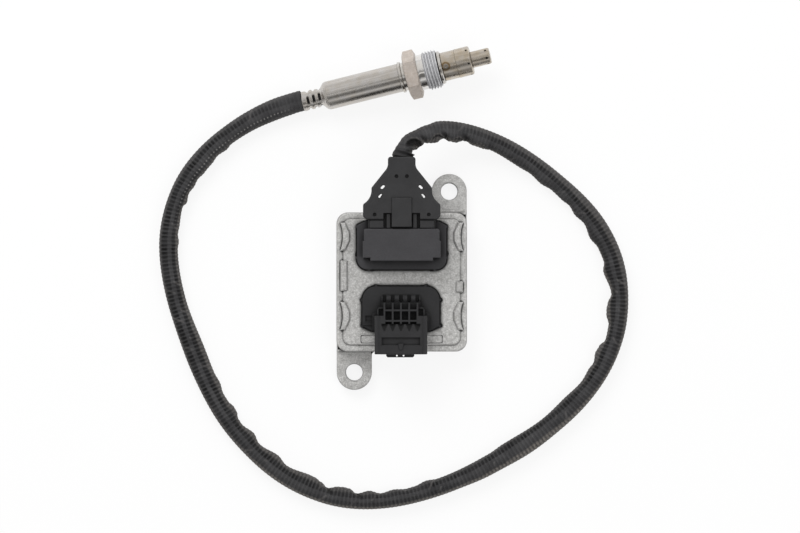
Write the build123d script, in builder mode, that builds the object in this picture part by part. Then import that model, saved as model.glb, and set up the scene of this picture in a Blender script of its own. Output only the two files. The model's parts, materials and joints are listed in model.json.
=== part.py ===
from build123d import *
import math
import os

# Nitrogen oxide sensor for an exhaust pipe: a steel probe with a threaded union nut, a ribbed
# sleeve of wires, and a die-cast control module with two plastic headers.
# Millimetres, +Z up. The module lies on its back, and the origin is the centre of that back face.
# +Y points to the side where the probe's cable leaves, and +X to the side where the probe's tip points.

# Control module housing
housing_corner = 5.8
rim_height = 15.5
rim_edge_radius = 1.2
wall = 2.4
roof_thickness = 2.6
plateau_rise = 1.0
plateau_inset = 3.3
plateau_corner = 4.0
plateau_edge = 0.7

# Room that the two headers leave on the housing's roof
margin_above_headers = 4.4
header_spacing = 8.6
margin_below_headers = 10.8

# Fixing ears of the housing
ear_radius = 9.0
ear_hole_radius = 4.25
ear_reach = 10.8
ear_thickness = 6.0
ear_root_radius = 1.8
ear_root_sink = 1.0
ear_gusset = 1.4
ear_edge = 0.5
ear_hole_chamfer = 0.5

# Cast pads, ribs and recess on the housing's roof
pad_header_gap = 3.6
pad_reach = 7.0
pad_inset = 2.0
pad_length = 14.4
pad_flat = 4.4
pad_slope = 2.4
pad_hollow = 1.3
pad_rise = 0.9
pad_edge = 0.75
upper_pad_margin = 12.4
lower_pad_margin = 18.2
rib_width = 3.6
rib_inset = 2.1
rib_corner = 0.8
left_rib_length = 15.7
left_rib_drop = 19.9
right_rib_length = 5.8
right_rib_drop = 25.6
recess_length = 42.0
recess_width = 4.4
recess_corner = 0.9
recess_margin = 6.4
recess_depth = 0.4

# Back cover, its seal and the circuit board
cover_thickness = 1.5
cover_ledge = 1.2
cover_gap = 0.1
cover_seal_thickness = 0.6
board_thickness = 1.6
board_height = 4.4
board_margin = 0.6
boss_radius = 3.4
boss_inset = 3.8
screw_radius = 1.45
screw_thread_length = 4.6
screw_tip_gap = 0.4
screw_head_radius = 2.6
screw_head_height = 1.6
screw_hole_gap = 0.05

# Parts on the circuit board
controller_side = 14.0
controller_height = 1.4
driver_length = 10.0
driver_width = 9.2
driver_height = 2.3
chip_edge = 0.2
capacitor_radius = 3.1
capacitor_height = 5.4
capacitor_count = 3
capacitor_spacing = 1.9
capacitor_edge = 0.4
inductor_side = 7.0
inductor_height = 4.0
inductor_corner = 1.2
controller_offset = 12.4
driver_offset = 15.4
inductor_offset = 12.4
power_row_margin = 11.0

# Extra length of a cut that opens to the outside
open_end = 1.0

# Both headers
header_seal_thickness = 0.6
header_seal_width = 2.0
header_seal_proud = 0.5
flange_thickness = 2.4
flange_edge = 0.4
shroud_height = 12.6
shroud_wall = 1.8
shroud_edge = 0.5
socket_corner = 1.2
spigot_width = 5.0
spigot_side = 2.2
spigot_gap = 0.25
spigot_reach = 1.6
nub_radius = 0.7
nub_drop = 0.4
blade_width = 0.8
blade_thickness = 0.8
blade_cover = 0.5
blade_below_board = 1.0
blade_hole_gap = 0.05

# Sensor header, where the cable plug is fitted
sensor_ways = 8
sensor_pitch = 4.0
sensor_side_room = 5.15
sensor_flange_side = 3.55
sensor_flange_corner = 5.2
sensor_flange_cut_x = 4.4
sensor_flange_cut_y = 2.2
sensor_front_margin = 4.0
sensor_rear_margin = 4.3
sensor_step_depth = 1.6
sensor_step_side = 3.25
sensor_shroud_corner = 1.3
sensor_tab = 0.6
sensor_tab_drop = 6.2
sensor_back_wall = 4.2
sensor_socket_depth = 12.2

# Vehicle header, with the open socket
vehicle_x = -0.4
vehicle_ways = 5
vehicle_pitch = 4.18
vehicle_flange_side = 6.25
vehicle_flange_under_socket = 7.6
vehicle_flange_corner = 7.0
vehicle_flange_cut_x = 4.6
vehicle_flange_cut_y = 2.3
vehicle_rear_margin = 4.6
vehicle_rear_side = 1.5
vehicle_rear_length = 10.3
vehicle_body_side = 3.5
vehicle_body_edge = 1.3
vehicle_roof_side = 3.0
vehicle_roof_step = 0.9
vehicle_mouth_edge = 0.5
vehicle_back_wall = 5.0
vehicle_socket_depth = 14.5
vehicle_blade_inset = 5.2
vehicle_blade_setback = 7.6
shoulder_side = 2.25
shoulder_length = 4.4
shoulder_drop = 2.6
shoulder_corner = 2.0
shoulder_wall = 0.8
skirt_side = 1.1
skirt_rear = 1.8
skirt_rise = 2.4
grid_margin = 3.7
grid_rib = 0.9
grid_row_lengths = (3.35, 4.4, 1.3)
grid_depth = 5.0
ramp_foot = 1.4
slot_floor = 0.4
slot_width = 1.8
slot_setback = 0.2
scallop_half = 1.65
scallop_tip_half = 0.6
scallop_tip_round = 0.5
scallop_length = 3.4
scallop_depth = 1.1
latch_margin = 8.6
latch_length = 3.9
latch_depth = 1.2
latch_side = 0.6
latch_rib_width = 0.65
latch_rib_rise = 0.35
catch_length = 3.1
catch_half = 1.4
catch_tip_half = 0.7
catch_rise = 0.5
lip_half = 7.15
lip_offset = 0.35
lip_length = 1.7
lip_thickness = 1.9
lip_corner = 0.7
lip_hole_radius = 0.45
lip_hole_half = 1.7
flange_pocket_side = 3.6
flange_pocket_length = 3.0
flange_pocket_depth = 0.8
flange_bar_width = 0.7
flange_bar_rise = 0.7

# Cable plug and its wires
plug_gap = 0.35
plug_front_gap = 1.6
plug_height_gap = 1.0
plug_corner = 0.8
plug_collar_length = 1.5
plug_collar_setback = 1.0
plug_collar_rise = 0.6
plug_rear_wall = 0.8
rail_width = 1.8
rail_tongue_gap = 0.7
rail_rise = 0.75
rail_notch_gap = 1.7
plug_shoulder_gap = 0.4
rail_seal_gap = 1.0
plug_shoulder_side = 0.7
plug_shoulder_drop = 0.7
seal_setback = 2.7
seal_width = 3.0
seal_depth = 0.9
seal_gap = 0.04
terminal_side = 2.2
terminal_gap = 0.06
terminal_setback = 3.1
blade_slot = 0.95
blade_slot_length = 6.0
blade_slot_rest = 1.6
blade_window = 1.35
wire_radius = 0.5
wire_gap = 0.03
wire_seal_setback = 1.4
wire_seal_length = 2.6
wire_ring_radius = 2.0
wire_ring_turn = 12.0
wire_outlet_gap = 1.5

# Backshell that covers the plug's wires
backshell_half_height = 6.6
backshell_wall = 1.7
backshell_edge = 0.9
backshell_side = 0.45
backshell_stand_off = 4.5
backshell_grip = 4.8
backshell_low_chamfer = 1.7
backshell_foot_length = 7.9
backshell_flare_length = 8.2
backshell_flare_bow = 1.3
backshell_flare_depth = 4.2
backshell_roof_length = 10.5
backshell_neck_half = 7.0
backshell_neck_length = 5.3
backshell_corner = 1.5
backshell_neck_root = 5.0
backshell_mouth_gap = 0.15
backshell_notch_length = 3.4
tongue_half = 5.1
tongue_front = 3.7
tongue_length = 14.9
tongue_rise = 0.7
tongue_edge = 0.4
dimple_radius = 0.95
dimple_depth = 1.0
foot_dimple_x = 13.7
foot_dimple_margin = 2.6
roof_dimple_x = 2.65
roof_dimple_drop = 4.6
oval_length = 2.4
oval_width = 1.35
oval_spacing = 4.5
upper_oval_rise = 0.5
upper_oval_x = 9.65
lower_oval_x = 10.8

# Sleeve round the wires
sleeve_radius = 4.75
sleeve_gap = 0.12
sleeve_grip = 6.0

# Probe: sizes along its axis, counted from the rear end of the crimp
probe_tail_x = -50.8
probe_tail_y = 92.2
probe_heading = 13.7
crimp_radius = 4.9
crimp_length = 12.8
crimp_grooves = 3
crimp_groove_depth = 0.45
crimp_groove_half = 0.8
crimp_groove_floor_half = 0.4
crimp_groove_round = 0.3
cone_length = 1.6
tube_wall = 0.8
tube_length = 37.4
ring_rise = 0.7
ring_width = 1.4
ring_edge = 0.3
ring_nut_gap = 1.8

# Union nut, whose thread sets the probe's other diameters
nut_thread_radius = 10.0
nut_thread_wall = 2.62
nut_thread_length = 7.1
nut_thread_chamfer = 0.9
nut_across_flats = 22.0
nut_hex_length = 5.9
nut_hex_chamfer = 0.9
nut_hex_face = 0.6
nut_hex_corner = 0.4
nut_relief_depth = 0.9
nut_relief_length = 4.1
nut_relief_round = 0.5
nut_running_gap = 0.08
nut_end_play = 0.3

# Collar and caps in front of the nut
collar_rise = 1.2
collar_width = 1.7
collar_edge = 0.4
spigot_length = 4.0
cap_wall = 0.5
cap_step = 0.1
cap_edge = 0.9
outer_cap_length = 14.4
outer_cap_seam = 6.9
tip_radius = 4.15
tip_reach = 10.8
vent_radius = 0.5
vent_count = 6
vent_phase = 16.0
outer_vent_setback = 1.5
tip_vent_setback = 2.0

# Inside the probe
body_press = 6.0
body_wall = 2.1
body_throat_step = 1.8
element_width = 4.2
element_thickness = 1.3
element_tip_room = 4.3
element_gap = 0.15
element_edge = 0.25
bush_setback = 1.2
rear_bush_length = 8.0
talc_length = 7.0
front_bush_length = 8.0
packing_gap = 0.05
carrier_body_gap = 2.8
carrier_length = 17.0
carrier_window_width = 5.2
carrier_window_height = 4.4
element_setback = 2.0
contacts_per_side = 4
contact_pitch = 1.1
contact_width = 0.7
contact_thickness = 0.35
contact_run = 6.0
contact_slope = 3.0
contact_touch = 1.0
contact_tail = 2.0
contact_bend = 0.25
grommet_setback = 0.4
lead_ring_radius = 2.4
lead_straight = 1.0
lead_landing = 2.0

os.makedirs("parts", exist_ok=True)


def save(piece, name):
    """Label one finished piece and write it under its own name."""
    piece.part.label = name
    export_step(piece.part, f"parts/{name}.step")


# Heights that stack up from the back face
plateau_top = rim_height + plateau_rise
pocket_top = rim_height - roof_thickness
cover_seat = cover_thickness + cover_seal_thickness
board_top = board_height + board_thickness
flange_bottom = plateau_top + header_seal_thickness
flange_top = flange_bottom + flange_thickness
shroud_top = flange_top + shroud_height
connector_axis = flange_top + shroud_height / 2
spigot_bottom = pocket_top - spigot_reach
blade_bottom = board_height - blade_below_board


def row_positions(count, pitch, centre):
    """X of each way of a connector with equal pitch."""
    return [centre + pitch * (index - (count - 1) / 2) for index in range(count)]


# Widths that follow from the rows of blades
sensor_row = row_positions(sensor_ways, sensor_pitch, 0)
vehicle_row = row_positions(vehicle_ways, vehicle_pitch, vehicle_x)
sensor_spigot_half = sensor_row[-1] + spigot_side
vehicle_spigot_half = vehicle_row[-1] - vehicle_x + spigot_side
sensor_shroud_half = sensor_row[-1] + sensor_side_room
sensor_step_half = sensor_shroud_half - sensor_step_side
sensor_flange_half = sensor_shroud_half + sensor_flange_side
vehicle_rear_half = vehicle_row[-1] - vehicle_x + vehicle_rear_side
vehicle_body_half = vehicle_rear_half + vehicle_body_side
vehicle_flange_half = vehicle_body_half + vehicle_flange_side

# Depths of both flanges, each from the parts that stand on it
sensor_flange_depth = (
    sensor_rear_margin + sensor_back_wall + sensor_socket_depth + sensor_front_margin
)
vehicle_flange_depth = vehicle_rear_margin + vehicle_rear_length + vehicle_flange_under_socket

# The housing is as wide as the sensor header with its pads, and as deep as both headers in a column
housing_width = 2 * (sensor_flange_half + pad_header_gap + pad_reach)
housing_depth = (
    margin_above_headers
    + sensor_flange_depth
    + header_spacing
    + vehicle_flange_depth
    + margin_below_headers
)

# Y of the sensor header's parts
sensor_flange_high = housing_depth / 2 - margin_above_headers
sensor_flange_low = sensor_flange_high - sensor_flange_depth
sensor_shroud_high = sensor_flange_high - sensor_front_margin
sensor_tab_high = sensor_shroud_high - sensor_tab_drop
sensor_step_low = sensor_flange_low + sensor_rear_margin
sensor_shroud_low = sensor_step_low + sensor_step_depth
sensor_socket_floor = sensor_step_low + sensor_back_wall
sensor_blade_row = sensor_socket_floor - blade_cover - blade_thickness / 2

# Y of the vehicle header's parts
vehicle_flange_high = sensor_flange_low - header_spacing
vehicle_flange_low = vehicle_flange_high - vehicle_flange_depth
vehicle_rear_high = vehicle_flange_high - vehicle_rear_margin
vehicle_body_high = vehicle_rear_high - vehicle_rear_length
vehicle_blade_row = vehicle_rear_high - vehicle_blade_inset
vehicle_socket_floor = vehicle_body_high - vehicle_back_wall
vehicle_body_low = vehicle_socket_floor - vehicle_socket_depth

# Places that follow from the housing
pocket_width = housing_width - 2 * wall
pocket_depth = housing_depth - 2 * wall
pocket_corner = housing_corner - wall
recess_step = wall - cover_ledge
seat_width = housing_width - 2 * recess_step
seat_depth = housing_depth - 2 * recess_step
seat_corner = housing_corner - recess_step
ear_x = housing_width / 2 - ear_radius
ear_y = housing_depth / 2 + ear_reach
ear_places = [(ear_x, ear_y), (-ear_x, -ear_y)]
boss_x = pocket_width / 2 - boss_inset
boss_y = pocket_depth / 2 - boss_inset
boss_places = [(boss_x, boss_y), (-boss_x, boss_y), (boss_x, -boss_y), (-boss_x, -boss_y)]
pad_outer = housing_width / 2 - pad_inset
pad_inner = housing_width / 2 - pad_reach
upper_pad_y = housing_depth / 2 - upper_pad_margin
lower_pad_y = lower_pad_margin - housing_depth / 2
rib_x = housing_width / 2 - rib_inset - rib_width / 2
left_rib_y = upper_pad_y - left_rib_drop
right_rib_y = upper_pad_y - right_rib_drop
recess_y = recess_margin - housing_depth / 2

# Holes of the board that a square blade passes
pin_hole_radius = math.hypot(blade_width, blade_thickness) / 2 + blade_hole_gap


def edges_at(piece, height):
    """Edges of a piece that lie wholly at one height."""
    return piece.edges().filter_by(
        lambda edge: abs(edge.bounding_box().min.Z - height) < 0.001
        and abs(edge.bounding_box().max.Z - height) < 0.001
    )


def mirrored_outline(points, centre_x=0):
    """Closed face from the points of its right half, mirrored about a centre line."""
    with BuildSketch() as face:
        with BuildLine():
            half_side = Polyline(*points)
            mirror(half_side, about=Plane.YZ.offset(centre_x))
        make_face()
    return face.sketch


# Control module housing, cast in one piece with its ears
with BuildPart() as ecu_housing:
    with BuildSketch():
        RectangleRounded(housing_width, housing_depth, housing_corner)
    extrude(amount=rim_height)
    fillet(edges_at(ecu_housing, rim_height), radius=rim_edge_radius)
    with BuildSketch() as ears:
        with Locations(*ear_places):
            Circle(ear_radius)
        with Locations((ear_x, ear_y - ear_reach), (-ear_x, -ear_y + ear_reach)):
            Rectangle(2 * ear_radius, 2 * ear_reach)
    extrude(amount=ear_thickness - ear_edge)
    with BuildSketch(Plane.XY.offset(ear_thickness - ear_edge)):
        add(ears.sketch)
    extrude(amount=ear_edge, taper=45)
    # Concave root where each ear meets the side wall, with a gusset on its inner side
    for side in (1, -1):
        root_y = side * housing_depth / 2
        root_x = side * ear_x - ear_radius + ear_edge
        with BuildSketch(Plane.YZ.offset(root_x)):
            with BuildLine():
                Polyline(
                    (root_y - side * ear_root_sink, ear_thickness + ear_root_radius),
                    (root_y - side * ear_root_sink, ear_thickness),
                    (root_y + side * ear_root_radius, ear_thickness),
                )
                Line(
                    (root_y - side * ear_root_sink, ear_thickness + ear_root_radius),
                    (root_y, ear_thickness + ear_root_radius),
                )
                RadiusArc(
                    (root_y, ear_thickness + ear_root_radius),
                    (root_y + side * ear_root_radius, ear_thickness),
                    side * -ear_root_radius,
                )
            make_face()
        extrude(amount=2 * (ear_radius - ear_edge))
        inner_x = side * (ear_x - ear_radius)
        with BuildSketch():
            with BuildLine():
                Polyline(
                    (inner_x, root_y),
                    (inner_x - side * ear_gusset, root_y),
                    (inner_x, root_y + side * ear_gusset),
                    close=True,
                )
            make_face()
        extrude(amount=ear_thickness)
    with BuildSketch(Plane.XY.offset(ear_thickness)):
        with Locations(*ear_places):
            Circle(ear_hole_radius)
    extrude(amount=-ear_thickness, mode=Mode.SUBTRACT)
    chamfer(
        edges_at(ecu_housing, ear_thickness).filter_by(
            lambda edge: edge.geom_type == GeomType.CIRCLE
            and abs(edge.radius - ear_hole_radius) < 0.001
        ),
        length=ear_hole_chamfer,
    )
    # Raised middle of the roof, then the pads and ribs that stand on its edge
    with BuildSketch(Plane.XY.offset(rim_height)):
        RectangleRounded(
            housing_width - 2 * plateau_inset, housing_depth - 2 * plateau_inset, plateau_corner
        )
    extrude(amount=plateau_rise)
    chamfer(edges_at(ecu_housing, plateau_top), length=plateau_edge)
    with BuildSketch(Plane.XY.offset(rim_height)):
        for pad_y in (upper_pad_y, lower_pad_y):
            with BuildLine():
                ThreePointArc(
                    (pad_outer, pad_y - pad_length / 2),
                    (pad_outer - pad_hollow, pad_y),
                    (pad_outer, pad_y + pad_length / 2),
                )
                Polyline(
                    (pad_outer, pad_y + pad_length / 2),
                    (pad_inner + pad_slope, pad_y + pad_length / 2),
                    (pad_inner, pad_y + pad_flat / 2),
                    (pad_inner, pad_y - pad_flat / 2),
                    (pad_inner + pad_slope, pad_y - pad_length / 2),
                    (pad_outer, pad_y - pad_length / 2),
                )
            make_face()
        mirror(about=Plane.YZ)
        with Locations((-rib_x, left_rib_y)):
            RectangleRounded(rib_width, left_rib_length, rib_corner)
        with Locations((rib_x, right_rib_y)):
            RectangleRounded(rib_width, right_rib_length, rib_corner)
    extrude(amount=plateau_rise + pad_rise)
    chamfer(edges_at(ecu_housing, plateau_top + pad_rise), length=pad_edge)
    with BuildSketch(Plane.XY.offset(plateau_top)):
        with Locations((0, recess_y)):
            RectangleRounded(recess_length, recess_width, recess_corner)
    extrude(amount=-recess_depth, mode=Mode.SUBTRACT)
    # Hollow for the circuit board, with a step that seats the cover
    with BuildSketch():
        RectangleRounded(pocket_width, pocket_depth, pocket_corner)
    extrude(amount=pocket_top, mode=Mode.SUBTRACT)
    with BuildSketch():
        RectangleRounded(seat_width, seat_depth, seat_corner)
    extrude(amount=cover_seat, mode=Mode.SUBTRACT)
    with BuildSketch(Plane.XY.offset(board_top)):
        with Locations(*boss_places):
            Circle(boss_radius)
    extrude(amount=pocket_top - board_top)
    with BuildSketch(Plane.XY.offset(board_top)):
        with Locations(*boss_places):
            Circle(screw_radius + screw_hole_gap)
    extrude(amount=screw_thread_length + screw_tip_gap, mode=Mode.SUBTRACT)
    # Windows in the roof for the two headers
    with BuildSketch(Plane.XY.offset(pocket_top)):
        with Locations((0, sensor_blade_row)):
            Rectangle(2 * (sensor_spigot_half + spigot_gap), spigot_width + 2 * spigot_gap)
        with Locations((vehicle_x, vehicle_blade_row)):
            Rectangle(2 * (vehicle_spigot_half + spigot_gap), spigot_width + 2 * spigot_gap)
    extrude(amount=plateau_top - pocket_top, mode=Mode.SUBTRACT)
save(ecu_housing, "ecu_housing")

# Flat cover that closes the housing's back
with BuildPart() as rear_cover:
    with BuildSketch():
        RectangleRounded(
            seat_width - 2 * cover_gap, seat_depth - 2 * cover_gap, seat_corner - cover_gap
        )
    extrude(amount=cover_thickness)
save(rear_cover, "rear_cover")

# Seal between the cover and its step
with BuildPart() as cover_seal:
    with BuildSketch(Plane.XY.offset(cover_thickness)):
        RectangleRounded(
            seat_width - 2 * cover_gap, seat_depth - 2 * cover_gap, seat_corner - cover_gap
        )
        RectangleRounded(pocket_width, pocket_depth, pocket_corner, mode=Mode.SUBTRACT)
    extrude(amount=cover_seal_thickness)
save(cover_seal, "cover_seal")

# Circuit board, with holes for the screws and for both rows of pins
with BuildPart() as circuit_board:
    with BuildSketch(Plane.XY.offset(board_height)):
        RectangleRounded(
            pocket_width - 2 * board_margin, pocket_depth - 2 * board_margin, pocket_corner
        )
        with Locations(*boss_places):
            Circle(screw_radius + screw_hole_gap, mode=Mode.SUBTRACT)
        with Locations(*[(x, sensor_blade_row) for x in sensor_row]):
            Circle(pin_hole_radius, mode=Mode.SUBTRACT)
        with Locations(*[(x, vehicle_blade_row) for x in vehicle_row]):
            Circle(pin_hole_radius, mode=Mode.SUBTRACT)
    extrude(amount=board_thickness)
save(circuit_board, "circuit_board")

# Four screws that hold the board against the cast bosses
with BuildPart() as board_screws:
    with BuildSketch(Plane.XY.offset(board_height - screw_head_height)):
        with Locations(*boss_places):
            Circle(screw_head_radius)
    extrude(amount=screw_head_height)
    with BuildSketch(Plane.XY.offset(board_height)):
        with Locations(*boss_places):
            Circle(screw_radius)
    extrude(amount=board_thickness + screw_thread_length)
save(board_screws, "board_screws")

# The free part of the board between the two rows of pins
chip_y = (sensor_blade_row + vehicle_blade_row) / 2

# Flat square control chip
with BuildPart() as microcontroller:
    with BuildSketch(Plane.XY.offset(board_top)):
        with Locations((-controller_offset, chip_y)):
            Rectangle(controller_side, controller_side)
    extrude(amount=controller_height)
    chamfer(edges_at(microcontroller, board_top + controller_height), length=chip_edge)
save(microcontroller, "microcontroller")

# Power chip that drives the probe's heater
with BuildPart() as heater_driver:
    with BuildSketch(Plane.XY.offset(board_top)):
        with Locations((driver_offset, chip_y)):
            Rectangle(driver_length, driver_width)
    extrude(amount=driver_height)
    chamfer(edges_at(heater_driver, board_top + driver_height), length=chip_edge)
save(heater_driver, "heater_driver")

# Three can capacitors in a row, and a square choke beside them
capacitor_pitch = 2 * capacitor_radius + capacitor_spacing
power_row_y = power_row_margin - pocket_depth / 2
with BuildPart() as capacitors:
    with BuildSketch(Plane.XY.offset(board_top)):
        for index in range(capacitor_count):
            with Locations((-capacitor_pitch * (index + 0.5), power_row_y)):
                Circle(capacitor_radius)
    extrude(amount=capacitor_height)
    fillet(edges_at(capacitors, board_top + capacitor_height), radius=capacitor_edge)
save(capacitors, "capacitors")

with BuildPart() as inductor:
    with BuildSketch(Plane.XY.offset(board_top)):
        with Locations((inductor_offset, power_row_y)):
            RectangleRounded(inductor_side, inductor_side, inductor_corner)
    extrude(amount=inductor_height)
save(inductor, "inductor")


def blade_run(row_y, tip_y):
    """Side outline of a right-angle blade: down through the board and out to one side."""
    half = blade_thickness / 2
    side = math.copysign(1, tip_y - row_y)
    return [
        (row_y - side * half, blade_bottom),
        (row_y + side * half, blade_bottom),
        (row_y + side * half, connector_axis - half),
        (tip_y, connector_axis - half),
        (tip_y, connector_axis + half),
        (row_y - side * half, connector_axis + half),
    ]


# Places of the plug and its terminals, between the floor of the socket and the backshell
socket_half_height = shroud_height / 2 - shroud_wall
sensor_socket_half = sensor_shroud_half - shroud_wall
plug_half = sensor_socket_half - plug_gap
plug_half_height = socket_half_height - plug_height_gap
plug_front = sensor_socket_floor + plug_front_gap
seal_front = plug_front + seal_setback
seal_rear = seal_front + seal_width
backshell_mouth = sensor_shroud_high + backshell_stand_off
plug_rear = backshell_mouth + backshell_grip
wire_seal_start = plug_rear - plug_rear_wall - wire_seal_length
terminal_start = plug_front + terminal_setback
terminal_end = wire_seal_start - wire_seal_setback

# Eight bent blades of the sensor header, whose tips reach into the terminals
with BuildPart() as sensor_header_pins:
    for blade_x in sensor_row:
        with BuildSketch(Plane.YZ.offset(blade_x - blade_width / 2)):
            with BuildLine():
                blade_tip = terminal_start + blade_slot_length - blade_slot_rest
                Polyline(*blade_run(sensor_blade_row, blade_tip), close=True)
            make_face()
        extrude(amount=blade_width)
save(sensor_header_pins, "sensor_header_pins")

# Five bent blades of the vehicle header, whose tips stand back inside the socket
with BuildPart() as vehicle_header_pins:
    for blade_x in vehicle_row:
        with BuildSketch(Plane.YZ.offset(blade_x - blade_width / 2)):
            with BuildLine():
                blade_tip = vehicle_body_low + vehicle_blade_setback
                Polyline(*blade_run(vehicle_blade_row, blade_tip), close=True)
            make_face()
        extrude(amount=blade_width)
save(vehicle_header_pins, "vehicle_header_pins")

# Outline of the sensor header's flange, round at its foot and cut at its head
with BuildSketch() as sensor_flange:
    add(
        mirrored_outline([
            (0, sensor_flange_low),
            (sensor_flange_half, sensor_flange_low),
            (sensor_flange_half, sensor_flange_high - sensor_flange_cut_y),
            (sensor_flange_half - sensor_flange_cut_x, sensor_flange_high),
            (0, sensor_flange_high),
        ])
    )
    fillet(sensor_flange.vertices().group_by(Axis.Y)[0], radius=sensor_flange_corner)

sensor_nubs = [
    (sensor_flange_half, sensor_flange_high - sensor_flange_cut_y - nub_radius),
    (sensor_flange_half, sensor_shroud_low),
    (sensor_flange_half - sensor_flange_corner - nub_radius, sensor_flange_low),
]

# Sensor header: flange, shroud that opens to +Y, and a spigot that reaches into the housing
with BuildPart() as sensor_header:
    with BuildSketch(Plane.XY.offset(flange_bottom)):
        add(sensor_flange.sketch)
    extrude(amount=flange_thickness)
    fillet(edges_at(sensor_header, flange_top), radius=flange_edge)
    with BuildSketch(Plane.XY.offset(flange_bottom)):
        with Locations(*sensor_nubs):
            Circle(nub_radius)
        mirror(about=Plane.YZ)
    extrude(amount=flange_thickness - nub_drop)
    with BuildSketch(Plane.XY.offset(flange_top)) as shroud_plan:
        add(
            mirrored_outline([
                (0, sensor_step_low),
                (sensor_step_half, sensor_step_low),
                (sensor_step_half, sensor_shroud_low),
                (sensor_shroud_half + sensor_tab, sensor_shroud_low),
                (sensor_shroud_half + sensor_tab, sensor_tab_high),
                (sensor_shroud_half, sensor_tab_high),
                (sensor_shroud_half, sensor_shroud_high),
                (0, sensor_shroud_high),
            ])
        )
        fillet(shroud_plan.vertices().group_by(Axis.Y)[-1], radius=sensor_shroud_corner)
    extrude(amount=shroud_height)
    fillet(edges_at(sensor_header, shroud_top), radius=shroud_edge)
    with BuildSketch(Plane.XY.offset(flange_bottom)):
        with Locations((0, sensor_blade_row)):
            Rectangle(2 * sensor_spigot_half, spigot_width)
    extrude(amount=spigot_bottom - flange_bottom)
    with BuildSketch(Plane.XZ.offset(-sensor_socket_floor)):
        with Locations((0, connector_axis)):
            RectangleRounded(2 * sensor_socket_half, 2 * socket_half_height, socket_corner)
    extrude(amount=-(sensor_shroud_high - sensor_socket_floor + open_end), mode=Mode.SUBTRACT)
    add(sensor_header_pins.part, mode=Mode.SUBTRACT)
save(sensor_header, "sensor_header")

# Gasket under the sensor header's flange, which shows as a thin dark line round it
with BuildPart() as sensor_header_seal:
    with BuildSketch(Plane.XY.offset(plateau_top)):
        add(sensor_flange.sketch)
        offset(amount=header_seal_proud)
        offset(sensor_flange.sketch, amount=-header_seal_width, mode=Mode.SUBTRACT)
    extrude(amount=header_seal_thickness)
save(sensor_header_seal, "sensor_header_seal")

# Outline of the vehicle header's flange, round at its head and cut at its foot
flange_right = vehicle_x + vehicle_flange_half
flange_left = vehicle_x - vehicle_flange_half
with BuildSketch() as vehicle_flange:
    add(
        mirrored_outline(
            [
                (vehicle_x, vehicle_flange_high),
                (flange_right, vehicle_flange_high),
                (flange_right, vehicle_flange_low + vehicle_flange_cut_y),
                (flange_right - vehicle_flange_cut_x, vehicle_flange_low),
                (vehicle_x, vehicle_flange_low),
            ],
            vehicle_x,
        )
    )
    fillet(vehicle_flange.vertices().group_by(Axis.Y)[-1], radius=vehicle_flange_corner)

vehicle_nubs = [
    (flange_right - vehicle_flange_corner, vehicle_flange_high),
    (flange_right, vehicle_flange_high - vehicle_flange_corner),
    (flange_right, vehicle_flange_low + vehicle_flange_cut_y),
]
vehicle_socket_half = vehicle_body_half - shroud_wall
shoulder_half = vehicle_rear_half + shoulder_side
shoulder_high = vehicle_body_high + shoulder_length
shoulder_top = shroud_top - shoulder_drop
grid_half = vehicle_row[-1] - vehicle_x + grid_rib / 2
shoulder_pocket = shoulder_half - shoulder_wall - grid_half
shoulder_pocket_x = vehicle_x + grid_half + shoulder_pocket / 2
shoulder_pocket_y = (shoulder_high + vehicle_body_high - shoulder_wall) / 2
vehicle_roof_half = vehicle_body_half - vehicle_roof_side
vehicle_side_top = shroud_top - vehicle_roof_step
skirt_half = vehicle_body_half + skirt_side
skirt_high = vehicle_body_high + skirt_rear
skirt_left = vehicle_x - skirt_half
flange_pocket_x = skirt_left - flange_pocket_side / 2
flange_pocket_y = vehicle_body_high - flange_pocket_length / 2
flange_bar_x = (flange_left + skirt_left) / 2
flange_bar_y = flange_pocket_y - flange_pocket_length / 2 - 2 * flange_bar_width
grid_columns = row_positions(vehicle_ways - 1, vehicle_pitch, vehicle_x)
grid_high = vehicle_rear_high - grid_margin
grid_low = grid_high - sum(grid_row_lengths) - grid_rib * (len(grid_row_lengths) - 1)
grid_floor = shroud_top - grid_depth
slot_length = grid_margin - slot_setback + slot_width / 2
scallop_slope = math.hypot(scallop_length, scallop_depth)
latch_high = vehicle_body_low + latch_margin
latch_y = latch_high - latch_length / 2
latch_half = vehicle_roof_half - latch_side
catch_low = vehicle_body_low + (latch_margin - latch_length) / 2
lip_x = vehicle_x - lip_offset
lip_low = vehicle_body_low - lip_length

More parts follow.
